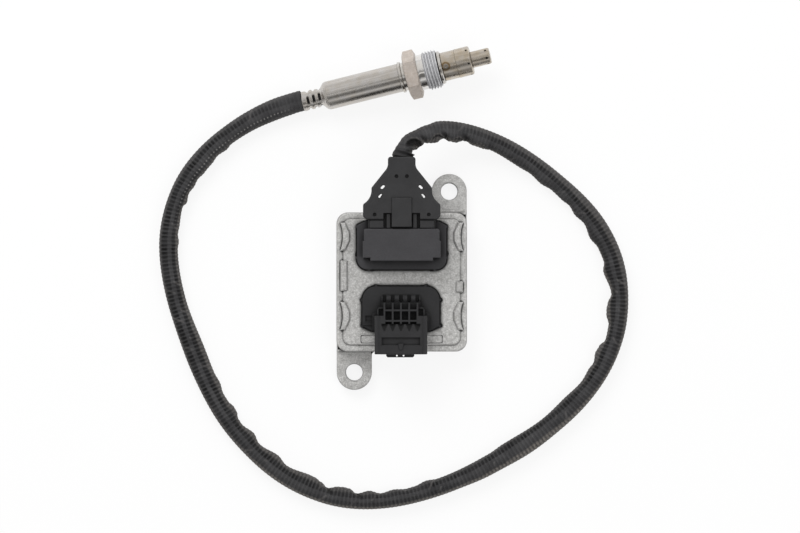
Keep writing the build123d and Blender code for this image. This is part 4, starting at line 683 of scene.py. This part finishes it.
def make_floor():
    """A white floor that takes soft shadows and is nearly white by its own light."""
    mesh = bpy.data.meshes.new("floor")
    half = FLOOR_HALF
    corners = [(-half, -half, 0), (half, -half, 0), (half, half, 0), (-half, half, 0)]
    mesh.from_pydata(corners, [], [(0, 1, 2, 3)])
    floor = add_object("floor", mesh)
    floor.location.z = -FLOOR_DROP
    material, tree, shader, _ = new_material("floor")
    shader.inputs["Base Color"].default_value = (0.92, 0.92, 0.92, 1)
    shader.inputs["Roughness"].default_value = 0.9
    shader.inputs["Specular IOR Level"].default_value = 0.0
    light = tree.nodes.new("ShaderNodeEmission")
    light.inputs["Color"].default_value = (1, 1, 1, 1)
    light.inputs["Strength"].default_value = 1.0
    path = tree.nodes.new("ShaderNodeLightPath")
    seen = maths(tree, "MAXIMUM", path.outputs["Is Camera Ray"], path.outputs["Is Glossy Ray"])
    seen = maths(tree, "MAXIMUM", seen, path.outputs["Is Transmission Ray"])
    mix = tree.nodes.new("ShaderNodeMixShader")
    link(tree, product(tree, seen, FLOOR_LIGHT), mix.inputs[0])
    link(tree, shader.outputs[0], mix.inputs[1])
    link(tree, light.outputs[0], mix.inputs[2])
    link(tree, mix.outputs[0], tree.nodes["Material Output"].inputs["Surface"])
    mesh.materials.append(material)


# Brightness of the studio by the angle from straight up, in degrees, towards the lower side of the
# photograph; the upper side is a long soft light, the lower side has dark and light strips
STUDIO = [
    (-90, 0.78), (-78, 0.80), (-64, 0.85), (-30, 0.80), (-14, 0.72), (-8, 0.45), (-3, 0.30), (2, 0.60),
    (6, 0.95), (10, 0.75), (14, 0.20), (34, 0.15), (42, 0.60), (52, 0.85), (60, 0.45), (70, 0.24), (90, 0.26),
]


def make_world():
    """A studio whose light strips run along X, and fade to an even grey at its two ends."""
    world = bpy.data.worlds.new("studio")
    bpy.context.scene.world = world
    world.use_nodes = True
    tree = world.node_tree
    background = tree.nodes["Background"]
    x, y, z = parts_of(tree, tree.nodes.new("ShaderNodeTexCoord").outputs["Generated"])
    angle = maths(tree, "ARCTAN2", product(tree, y, -1.0), z)
    share = maths(tree, "ADD", maths(tree, "DIVIDE", angle, math.pi), 0.5)
    strips = ramp(tree, share, [(degrees / 180 + 0.5, grey) for degrees, grey in STUDIO])
    ends = ramp(tree, maths(tree, "ABSOLUTE", x), [(0.55, 0.0), (0.9, 1.0)])
    colour = mix_colours(tree, ends, strips, (0.62, 0.62, 0.62))
    link(tree, colour, background.inputs["Color"])
    background.inputs["Strength"].default_value = 1.0


def make_lamp(name, place, size, power):
    data = bpy.data.lights.new(name, "AREA")
    data.shape = "DISK"
    data.size = size
    data.energy = power
    lamp = add_object(name, data)
    lamp.location = place
    lamp.rotation_euler = (-Vector(place)).to_track_quat("-Z", "Y").to_euler()
    lamp.visible_glossy = False


make_floor()
make_world()
make_lamp("key", (-0.5, 1.0, 1.1), 0.9, 12.5)
make_lamp("fill", (0.8, -0.5, 1.5), 1.0, 6.5)
bpy.context.scene.view_settings.view_transform = "Standard"


# Materials

def cast_aluminium():
    """Cast metal, grainy and stained, with bright specks, worn edges with a painted highlight, and painted
    shade in its grooves and on its steep sides.
    """
    material, tree, shader, place = new_material("cast_aluminium")
    grain = noise_node(tree, place, 1500.0, 2.0, 0.7)
    mottle = noise_node(tree, place, 420.0, 4.0, 0.65)
    cloud = noise_node(tree, place, 40.0, 3.0, 0.5)
    specks = noise_node(tree, place, 1100.0, 1.0, 0.5)
    colour = ramp(tree, grain, [
        (0.30, (0.48, 0.472, 0.46)), (0.52, (0.64, 0.633, 0.618)), (0.72, (0.86, 0.855, 0.84)),
    ])
    stain = ramp(tree, mottle, [(0.32, (0.66, 0.657, 0.65)), (0.58, (1.0, 1.0, 1.0))])
    colour = mix_colours(tree, 0.9, colour, stain, "MULTIPLY")
    colour = darken(tree, colour, ramp(tree, cloud, [(0.3, 0.92), (0.7, 1.05)]))
    bright = ramp(tree, specks, [(0.68, 0.0), (0.75, 0.7)])
    colour = mix_colours(tree, bright, colour, (0.85, 0.85, 0.83))
    # Worn edges with a painted highlight along them
    worn_and_highlit_edge = ramp(tree, occlusion(tree, 0.0009, True), [(0.45, 0.85), (0.88, 0.0)])
    colour = mix_colours(tree, worn_and_highlit_edge, colour, (0.92, 0.915, 0.90))
    # Painted shade: wide and soft in the grooves, and a narrow dark line along their feet
    colour = darken(tree, colour, crevices(tree, 0.0036, 0.50, 0.84, 0.04))
    colour = darken(tree, colour, crevices(tree, 0.0012, 0.60, 0.93, 0.12))
    # Painted shade on the steep sides
    colour = darken(tree, colour, steep_sides(tree, 0.3, 0.85))
    connect(tree, shader, colour, ramp(tree, mottle, [(0.3, 0.40), (0.7, 0.58)]), 0.40)
    first = bump(tree, shader, grain, 0.6, 0.00014, rounded_edges(tree, 0.0003))
    bump(tree, shader, mottle, 0.35, 0.00035, first)
    return material


def black_plastic(name, dark, light):
    """Moulded plastic with a fine texture, with painted shade in its pockets and on its steep sides."""
    material, tree, shader, place = new_material(name)
    fine = noise_node(tree, place, 2600.0, 2.0, 0.6)
    cloud = noise_node(tree, place, 140.0, 4.0, 0.6)
    colour = ramp(tree, cloud, [(0.3, dark), (0.7, light)])
    colour = darken(tree, colour, ramp(tree, fine, [(0.3, 0.86), (0.7, 1.1)]))
    # Painted shade in the pockets and on the steep sides
    colour = darken(tree, colour, crevices(tree, 0.0045, 0.35, 0.88, 0.06))
    colour = darken(tree, colour, steep_sides(tree, 0.35, 0.9))
    connect(tree, shader, colour, ramp(tree, cloud, [(0.3, 0.46), (0.7, 0.58)]))
    shader.inputs["Specular IOR Level"].default_value = 0.36
    bump(tree, shader, fine, 0.45, 0.00007, rounded_edges(tree, 0.0002))
    return material


# The vehicle header's ways: how many, their middle and their pitch; and the hollows that lie in shade
# beside its grid: lowest and highest y, and half width at each
HEADER_WAYS = 5
HEADER_MIDDLE = -0.4
HEADER_PITCH = 4.18
HEADER_SHADES = [(-9.9, -6.3, 1.15, 1.15), (-24.9, -20.9, 0.35, 1.75)]


def vehicle_plastic():
    """The header's plastic, with painted shade, nearly black, in the slots and the pointed scallops beside
    its contact grid.
    """
    material = black_plastic("vehicle_plastic", (0.0215, 0.0213, 0.0222), (0.0285, 0.0282, 0.0295))
    tree = material.node_tree
    pitch = HEADER_PITCH * MM
    x, y, _ = parts_of(tree, tree.nodes.new("ShaderNodeTexCoord").outputs["Object"])
    middle = maths(tree, "SUBTRACT", x, HEADER_MIDDLE * MM)
    inside = maths(tree, "LESS_THAN", maths(tree, "ABSOLUTE", middle), HEADER_WAYS / 2 * pitch)
    # The distance from the middle of the nearest way; whole turns are added to stay above zero
    turn = maths(tree, "FRACT", maths(tree, "ADD", maths(tree, "DIVIDE", middle, pitch), 10.5))
    aside = product(tree, away_from(tree, turn, 0.5), HEADER_PITCH)
    masks = []
    for low, high, low_half, high_half in HEADER_SHADES:
        share = maths(tree, "DIVIDE", maths(tree, "SUBTRACT", y, low * MM), (high - low) * MM)
        half = maths(tree, "ADD", product(tree, share, high_half - low_half), low_half)
        reach = maths(tree, "DIVIDE", aside, maths(tree, "MAXIMUM", half, 0.05))
        across = ramp(tree, reach, [(0.75, 1.0), (1.05, 0.0)])
        ends = ramp(tree, away_from(tree, share, 0.5), [(0.44, 1.0), (0.52, 0.0)])
        masks.append(product(tree, across, ends))
    mask = product(tree, maths(tree, "MAXIMUM", *masks), inside, 0.97)
    # Painted shade in the slots and the scallops
    colour_over(material, mask, (0.0005, 0.0005, 0.0005))
    return material


def plain_finish(name, colour, roughness, metallic=0.0, scale=700.0, depth=0.00005, contrast=0.86):
    material, tree, shader, place = new_material(name)
    spread = noise_node(tree, place, scale, 3.0, 0.6)
    darker = tuple(part * contrast for part in colour)
    tone = ramp(tree, spread, [(0.3, darker), (0.7, colour)])
    rough = ramp(tree, spread, [(0.3, roughness), (0.7, min(1.0, roughness + 0.1))])
    connect(tree, shader, tone, rough, metallic)
    bump(tree, shader, spread, 0.3, depth)
    return material


def steel(
    name, light, dark, roughness, streaks,
    spots=300.0, stain=(0.9, 0.87, 0.82), depth=0.00004, metallic=1.0,
):
    """Steel with fine streaks and light stains, and painted shade where the mesh has a shade and in its
    grooves.
    """
    material, tree, shader, place = new_material(name)
    streak = noise_node(tree, stretched(tree, place, streaks), 1.0, 4.0, 0.65)
    spread = noise_node(tree, place, spots, 4.0, 0.6)
    colour = ramp(tree, streak, [(0.32, dark), (0.68, light)])
    colour = darken(tree, colour, ramp(tree, spread, [(0.36, stain), (0.66, (1.0, 1.0, 1.0))]))
    # Painted shade, nearly black, where the mesh's shade attribute is set
    painted_shade = product(tree, attribute(tree, "shade"), 0.9)
    colour = mix_colours(tree, painted_shade, colour, (0.03, 0.028, 0.026))
    # Painted shade in grooves and corners
    colour = darken(tree, colour, crevices(tree, 0.0010, 0.40, 0.85, 0.08))
    rough = ramp(tree, spread, [(0.3, roughness), (0.7, roughness + 0.10)])
    connect(tree, shader, colour, rough, metallic)
    bump(tree, shader, streak, 0.3, depth)
    return material


def paste():
    """Grey-white assembly paste over the thread, darker between its crests."""
    material, tree, shader, place = new_material("thread_paste")
    smear = noise_node(tree, place, 520.0, 4.0, 0.65)
    colour = ramp(tree, smear, [(0.3, (0.52, 0.522, 0.535)), (0.7, (0.72, 0.72, 0.73))])
    root = maths(tree, "SUBTRACT", 1.0, attribute(tree, "crest"))
    colour = mix_colours(tree, product(tree, root, 0.62), colour, (0.22, 0.22, 0.23))
    connect(tree, shader, colour, ramp(tree, smear, [(0.3, 0.42), (0.7, 0.62)]), 0.25)
    bump(tree, shader, smear, 0.5, 0.00012)
    return material


# Probe pieces made ring by ring along the probe's axis

def probe_point(station, angle, radius):
    """A point of the probe; angles run from its top to the lower side of the photograph."""
    outward = PROBE_UP * math.cos(angle) + PROBE_SIDE * math.sin(angle)
    return PROBE_TAIL + PROBE_DIRECTION * station * MM + outward * radius * MM


def probe_ring(station, radii):
    return [probe_point(station, angle, radius) for angle, radius in zip(turns(len(radii)), radii)]


# The union nut: stations and radii; its faces run from the hexagon over the relief to the thread
NUT_START = 55.0
NUT_HEX_END = 61.7
NUT_RELIEF_END = 65.0
NUT_END = 72.1
NUT_BORE = 7.38
NUT_FACE_RADIUS = 10.4
NUT_CORNER_RADIUS = 12.65
NUT_RELIEF_RADIUS = 9.1
THREAD_RADIUS = 10.0
THREAD_PITCH = 1.5
THREAD_DEPTH = 0.92
THREAD_CHAMFER = 0.9
HEX_CHAMFER = 0.9


def hexagon_radius(station, angle):
    """The hexagon with a flat on top, cut by the cones of its two chamfers."""
    turn = (angle + math.pi / 6) % (math.pi / 3) - math.pi / 6
    flat = NUT_FLAT_RADIUS / math.cos(turn)
    inward = min(station - NUT_START, NUT_HEX_END - station)
    cone = NUT_FACE_RADIUS + (NUT_CORNER_RADIUS - NUT_FACE_RADIUS) * min(1.0, inward / HEX_CHAMFER)
    return min(flat, cone)


def thread_radius(station, angle):
    """A right-handed thread with worn crests and chamfered ends, and its height as a share."""
    phase = (station / THREAD_PITCH - angle / math.tau) % 1.0
    height = smoothstep(0.14, 0.42, abs(phase - 0.5))
    ragged = noise.noise(Vector((math.cos(angle) * 9, math.sin(angle) * 9, station * 1.3)))
    worn = THREAD_RADIUS - 0.10 * max(0.0, ragged) - 0.03
    radius = worn - THREAD_DEPTH * (1 - height)
    inward = min(station - NUT_RELIEF_END, NUT_END - station)
    cone = NUT_RELIEF_RADIUS + (THREAD_RADIUS - NUT_RELIEF_RADIUS) * min(1.0, inward / THREAD_CHAMFER)
    return max(NUT_RELIEF_RADIUS - 0.02, min(radius, cone)), height


NUT_AROUND = 96
HEX_FACES, RELIEF_FACES, THREAD_FACES = 0, 1, 2


def make_nut():
    angles = turns(NUT_AROUND)
    rows = []
    kinds = []
    crests = []

    def add(station, radii, kind, crest=None):
        rows.append(probe_ring(station, radii))
        kinds.append(kind)
        crests.extend(crest or [0.0] * NUT_AROUND)

    def add_round(station, radius, kind):
        add(station, [radius] * NUT_AROUND, kind)

    hexagon = steps(NUT_START, NUT_START + HEX_CHAMFER, 0.1)
    hexagon += steps(NUT_START + HEX_CHAMFER, NUT_HEX_END - HEX_CHAMFER, 1.0)[1:]
    hexagon += steps(NUT_HEX_END - HEX_CHAMFER, NUT_HEX_END, 0.1)[1:]
    for station in hexagon:
        add(station, [hexagon_radius(station, angle) for angle in angles], HEX_FACES)
    add_round(NUT_HEX_END + 0.02, NUT_RELIEF_RADIUS + 0.5, HEX_FACES)
    add_round(NUT_HEX_END + 0.12, NUT_RELIEF_RADIUS + 0.12, RELIEF_FACES)
    for station in steps(NUT_HEX_END + 0.4, NUT_RELIEF_END - 0.3, 0.3):
        dents = [
            NUT_RELIEF_RADIUS + 0.05 * noise.noise(Vector((math.cos(a) * 5, math.sin(a) * 5, station * 0.9)))
            for a in angles
        ]
        add(station, dents, RELIEF_FACES)
    for station in steps(NUT_RELIEF_END, NUT_END, 0.1):
        radii, heights = zip(*(thread_radius(station, angle) for angle in angles))
        add(station, radii, THREAD_FACES, heights)
    add_round(NUT_END, NUT_BORE, HEX_FACES)
    add_round(NUT_START, NUT_BORE, HEX_FACES)
    mesh = ring_mesh("union_nut_turned", rows, loop=True)
    add_attribute(mesh, "crest", crests)
    for polygon in mesh.polygons:
        polygon.material_index = kinds[polygon.index // NUT_AROUND]
    finishes = [
        steel(
            "nut_hexagon", (0.635, 0.572, 0.525), (0.50, 0.452, 0.415), 0.40, (260.0, 260.0, 260.0),
            900.0, depth=0.00008, metallic=0.5,
        ),
        steel("nut_relief", (0.86, 0.85, 0.84), (0.72, 0.71, 0.70), 0.07, (900.0, 60.0, 60.0)),
        paste(),
    ]
    add_piece("union_nut_turned", mesh, finishes, "nut", ("union_nut",), sharp=28)


# Outline of the thin rear tube: station and radius of its outside, from the crimped end to the weld
TUBE_OUTLINE = [
    (0.0, 4.55), (0.12, 4.85), (0.5, 5.05), (2.0, 5.0), (2.7, 4.78), (3.4, 4.62), (4.1, 4.84), (4.8, 5.05),
    (5.6, 5.02), (6.3, 4.72), (7.0, 4.72), (7.7, 4.86), (8.4, 4.72), (9.4, 4.50), (10.0, 4.62), (12.75, 6.98),
    (13.0, 7.16), (13.2, 7.10), (13.35, 7.22), (13.6, 7.30),
]
TUBE_END = 51.8
TUBE_BORE = TUBE_RADIUS - 0.8
TUBE_INSIDE = [(TUBE_END, TUBE_BORE), (14.6, TUBE_BORE), (10.2, 3.9), (0.0, 3.9)]
TUBE_AROUND = 72

# Pits of the crimping jaws: their stations, how many lie round the neck, their depth, and how much
# each ring of them is turned from the one before
PITS = (3.4, 6.5, 9.5)
PIT_COUNT = 4
PIT_DEPTH = 0.75
PIT_TURN = 0.05


def pit_share(station, angle):
    """How deep in a pit of the crimp the place lies, from 0 to 1."""
    nearest = (angle + math.pi / PIT_COUNT) % (math.tau / PIT_COUNT) - math.pi / PIT_COUNT
    share = 0.0
    for number, middle in enumerate(PITS):
        width = 1 - smoothstep(0.34, 0.56, abs(nearest + PIT_TURN * number - PIT_TURN))
        share = max(share, width * (1 - smoothstep(0.3, 0.75, abs(station - middle))))
    return share


def make_tube():
    rows = []
    shades = []
    for station in steps(0.0, 15.0, 0.2) + steps(15.0, TUBE_END, 4.0)[1:]:
        outline = between(TUBE_OUTLINE, station)
        crimped = 1 - smoothstep(11.5, 13.5, station)
        radii = []
        for angle in turns(TUBE_AROUND):
            pit = pit_share(station, angle)
            lump = noise.noise(Vector((math.cos(angle) * 3, math.sin(angle) * 3, station * 0.8)))
            radii.append(outline - PIT_DEPTH * pit + 0.10 * lump * crimped)
            # Painted shade in the pits
            shades.append(0.9 * pit)
        rows.append(probe_ring(station, radii))
    rows += [probe_ring(station, [radius] * TUBE_AROUND) for station, radius in TUBE_INSIDE]
    shades += [0.0] * TUBE_AROUND * len(TUBE_INSIDE)
    mesh = ring_mesh("rear_tube_crimped", rows, loop=True)
    add_attribute(mesh, "shade", shades)
    finish = steel("tube_steel", (0.66, 0.635, 0.61), (0.50, 0.48, 0.46), 0.20, (40.0, 1300.0, 1300.0), 260.0)
    add_piece("rear_tube_crimped", mesh, [finish], "sensor", ("rear_tube",), sharp=40)


# The spot weld on the outer cap, a shallow crater with a raised rim: its place on the cap, and its
# outline by the distance from its middle and the height over the cap
WELD_STATION = 76.2
WELD_ANGLE = math.radians(2)
WELD_RADIUS = 7.3
WELD_AROUND = 36
WELD_OUTLINE = [
    (1.15, -0.12), (1.05, 0.02), (0.92, 0.10), (0.76, 0.09), (0.5, -0.01), (0.3, -0.04), (0.12, 0.0),
]


def make_weld_spot():
    rows = [
        [
            probe_point(
                WELD_STATION + reach * math.cos(-turn),
                WELD_ANGLE + reach * math.sin(-turn) / WELD_RADIUS,
                WELD_RADIUS + rise,
            )
            for turn in turns(WELD_AROUND)
        ]
        for reach, rise in WELD_OUTLINE
    ]
    finish = steel("weld_metal", (0.40, 0.39, 0.38), (0.26, 0.25, 0.24), 0.25, (400.0, 400.0, 400.0))
    add_piece("weld_spot", ring_mesh("weld_spot", rows), [finish], "sensor", ())


# The two protection tubes: station and radius of their outsides, from the hidden to the far end, and of
# their insides on the way back
CAP_OUTLINE = [
    (74.1, 7.25), (74.3, 7.32), (80.9, 7.30), (81.4, 7.28), (81.62, 7.22), (81.72, 7.46), (82.2, 7.5),
    (82.9, 7.42), (88.3, 7.42), (88.7, 7.36), (89.0, 7.2), (89.2, 6.9), (89.3, 6.5),
]
CAP_INSIDE = [(89.3, 4.25), (88.5, 4.25), (88.3, 6.8), (74.1, 6.9)]
TIP_OUTLINE = [(86.0, 4.15), (97.9, 4.15), (98.4, 4.12), (98.8, 3.98), (99.1, 3.7)]
TIP_INSIDE = [(98.5, 0.05), (98.5, 3.3), (86.0, 3.3)]
CAP_AROUND = 144

# Six vents in each: the station of their ring, and the angle of the first from the top
CAP_VENTS = 87.9
TIP_VENTS = 97.3
VENT_ANGLE = math.radians(14)
VENT_RADIUS = 0.52
VENT_DEPTH = 0.55


def make_cap(name, node, outline, inside, vent_station, finish):
    """A deep-drawn protection tube with six small vents as the photograph turns them, each a shallow dent
    with painted shade in it.
    """
    stations = [station for station, radius in outline]
    stations += steps(vent_station - 0.75, vent_station + 0.75, 0.125)
    stations += steps(stations[0], vent_station - 0.8, 0.8)
    rows = []
    shades = []
    for station in sorted(set(round(station, 3) for station in stations)):
        radius = between(outline, station)
        radii = []
        for angle in turns(CAP_AROUND):
            turn = (angle - VENT_ANGLE + math.pi / 6) % (math.pi / 3) - math.pi / 6
            reach = math.hypot(turn * radius, station - vent_station)
            hole = 1 - smoothstep(VENT_RADIUS - 0.12, VENT_RADIUS + 0.06, reach)
            dent = noise.noise(Vector((math.cos(angle) * 2.2, math.sin(angle) * 2.2, station * 0.5)))
            radii.append(radius - VENT_DEPTH * hole + 0.03 * dent)
            # Painted shade in the vent dents
            shades.append(hole)
        rows.append(probe_ring(station, radii))
    rows += [probe_ring(station, [radius] * CAP_AROUND) for station, radius in inside]
    shades += [0.0] * CAP_AROUND * len(inside)
    mesh = ring_mesh(name, rows, loop=True)
    add_attribute(mesh, "shade", shades)
    add_piece(name, mesh, [finish], "sensor", (node,), sharp=35)


# The heat ring round the spot weld: its radius in millimetres, and its tint by the share of that
HEAT_RADIUS = 3.0
HEAT_TINTS = [
    (0.0, (0.5, 0.47, 0.42)), (0.45, (0.70, 0.66, 0.60)), (0.58, (0.46, 0.36, 0.24)),
    (0.70, (0.48, 0.38, 0.26)), (0.80, (0.92, 0.87, 0.79)), (1.0, (1.0, 1.0, 1.0)),
]


def cap_steel():
    """Drawn steel, yellowed by heat, with a brown heat ring round the spot weld."""
    material = steel(
        "cap_steel", (0.66, 0.612, 0.55), (0.49, 0.452, 0.405), 0.22, (40.0, 700.0, 700.0),
        220.0, (0.86, 0.80, 0.70),
    )
    tree = material.node_tree
    away = tree.nodes.new("ShaderNodeVectorMath")
    away.operation = "DISTANCE"
    link(tree, tree.nodes.new("ShaderNodeTexCoord").outputs["Object"], away.inputs[0])
    away.inputs[1].default_value = probe_point(WELD_STATION, WELD_ANGLE, WELD_RADIUS)
    reach = product(tree, away.outputs["Value"], 1 / (HEAT_RADIUS * MM))
    colour_over(material, 1.0, ramp(tree, reach, HEAT_TINTS), "MULTIPLY")
    return material


# Small round lobes of the two header seals that show beside the flanges
SEAL_LOBES = [
    (-22.7, 28.5), (22.9, 28.5), (-23.0, 14.1), (23.2, 14.6), (-15.0, 6.2), (15.1, 6.2),
    (-13.2, -1.8), (12.8, -1.8), (-20.6, -9.1), (20.1, -9.1), (-20.3, -22.2), (20.1, -22.2),
]
LOBE_RADIUS = 0.75
LOBE_FOOT = 16.3
LOBE_HEIGHT = 1.0
LOBE_AROUND = 20
# Shares of its radius and height, from the foot to the rounded top
LOBE_OUTLINE = [(1.0, 0.0), (1.0, 0.6), (0.92, 0.8), (0.7, 0.93), (0.3, 1.0)]


def make_lobe(name, x, y, finish):
    # The rings run clockwise from above, so that the wall faces out
    rows = [
        [
            Vector((
                x + LOBE_RADIUS * share * math.cos(-turn),
                y + LOBE_RADIUS * share * math.sin(-turn),
                LOBE_FOOT + LOBE_HEIGHT * rise,
            )) * MM
            for turn in turns(LOBE_AROUND)
        ]
        for share, rise in LOBE_OUTLINE
    ]
    add_piece(name, ring_mesh(name, rows), [finish], "sensor", ())


make_nut()
make_tube()
make_weld_spot()

# Materials of the part's own solids, by the record's slots
FINISHES = {
    "cast_aluminium": cast_aluminium(),
    "cover_sheet": plain_finish("cover_sheet", (0.60, 0.60, 0.60), 0.36, 0.9, 400.0),
    "black_plastic": black_plastic("black_plastic", (0.026, 0.0258, 0.0268), (0.034, 0.0337, 0.035)),
    "grey_rubber": plain_finish("grey_rubber", (0.006, 0.006, 0.006), 0.8),
    "board": plain_finish("board", (0.02, 0.13, 0.055), 0.32, 0.0, 260.0, 0.00004, 0.6),
    "chip_plastic": plain_finish("chip_plastic", (0.022, 0.022, 0.024), 0.5, 0.0, 1500.0),
    "can": plain_finish("can", (0.72, 0.72, 0.73), 0.25, 1.0),
    "tinned": plain_finish("tinned", (0.74, 0.69, 0.57), 0.28, 1.0),
    "screw_steel": plain_finish("screw_steel", (0.58, 0.58, 0.58), 0.32, 1.0),
    "tube_steel": steel("tube_inner", (0.60, 0.58, 0.55), (0.48, 0.46, 0.44), 0.25, (40.0, 900.0, 900.0)),
    "body_steel": steel("body_steel", (0.74, 0.72, 0.69), (0.56, 0.54, 0.52), 0.14, (900.0, 60.0, 60.0)),
    "nut_steel": steel("nut_plain", (0.50, 0.47, 0.44), (0.38, 0.36, 0.33), 0.4, (300.0, 300.0, 300.0)),
    "cap_steel": cap_steel(),
    "ceramic": plain_finish("ceramic", (0.86, 0.85, 0.80), 0.45, 0.0, 1200.0),
    "talc": plain_finish("talc", (0.74, 0.74, 0.72), 0.85, 0.0, 900.0, 0.0001),
    "wire_cover": plain_finish("wire_cover", (0.62, 0.60, 0.57), 0.42, 0.0, 300.0),
    "sleeve_weave": plain_finish("sleeve_plain", (0.02, 0.02, 0.021), 0.7),
}
for part in frame["record"]["subparts"]:
    holder = frame["nodes"][part["node"]]
    holder.data.materials.clear()
    holder.data.materials.append(FINISHES[part["material_slot"]])

header_plastic = black_plastic("header_plastic", (0.043, 0.042, 0.045), (0.052, 0.051, 0.0545))
frame["nodes"]["sensor_header"].data.materials[0] = header_plastic
frame["nodes"]["vehicle_header"].data.materials[0] = vehicle_plastic()
make_cap("outer_cap_drawn", "outer_cap", CAP_OUTLINE, CAP_INSIDE, CAP_VENTS, FINISHES["cap_steel"])
make_cap("inner_cap_drawn", "inner_cap", TIP_OUTLINE, TIP_INSIDE, TIP_VENTS, FINISHES["cap_steel"])
for number, (lobe_x, lobe_y) in enumerate(SEAL_LOBES, 1):
    make_lobe("seal_lobe_%02d" % number, lobe_x, lobe_y, FINISHES["grey_rubber"])
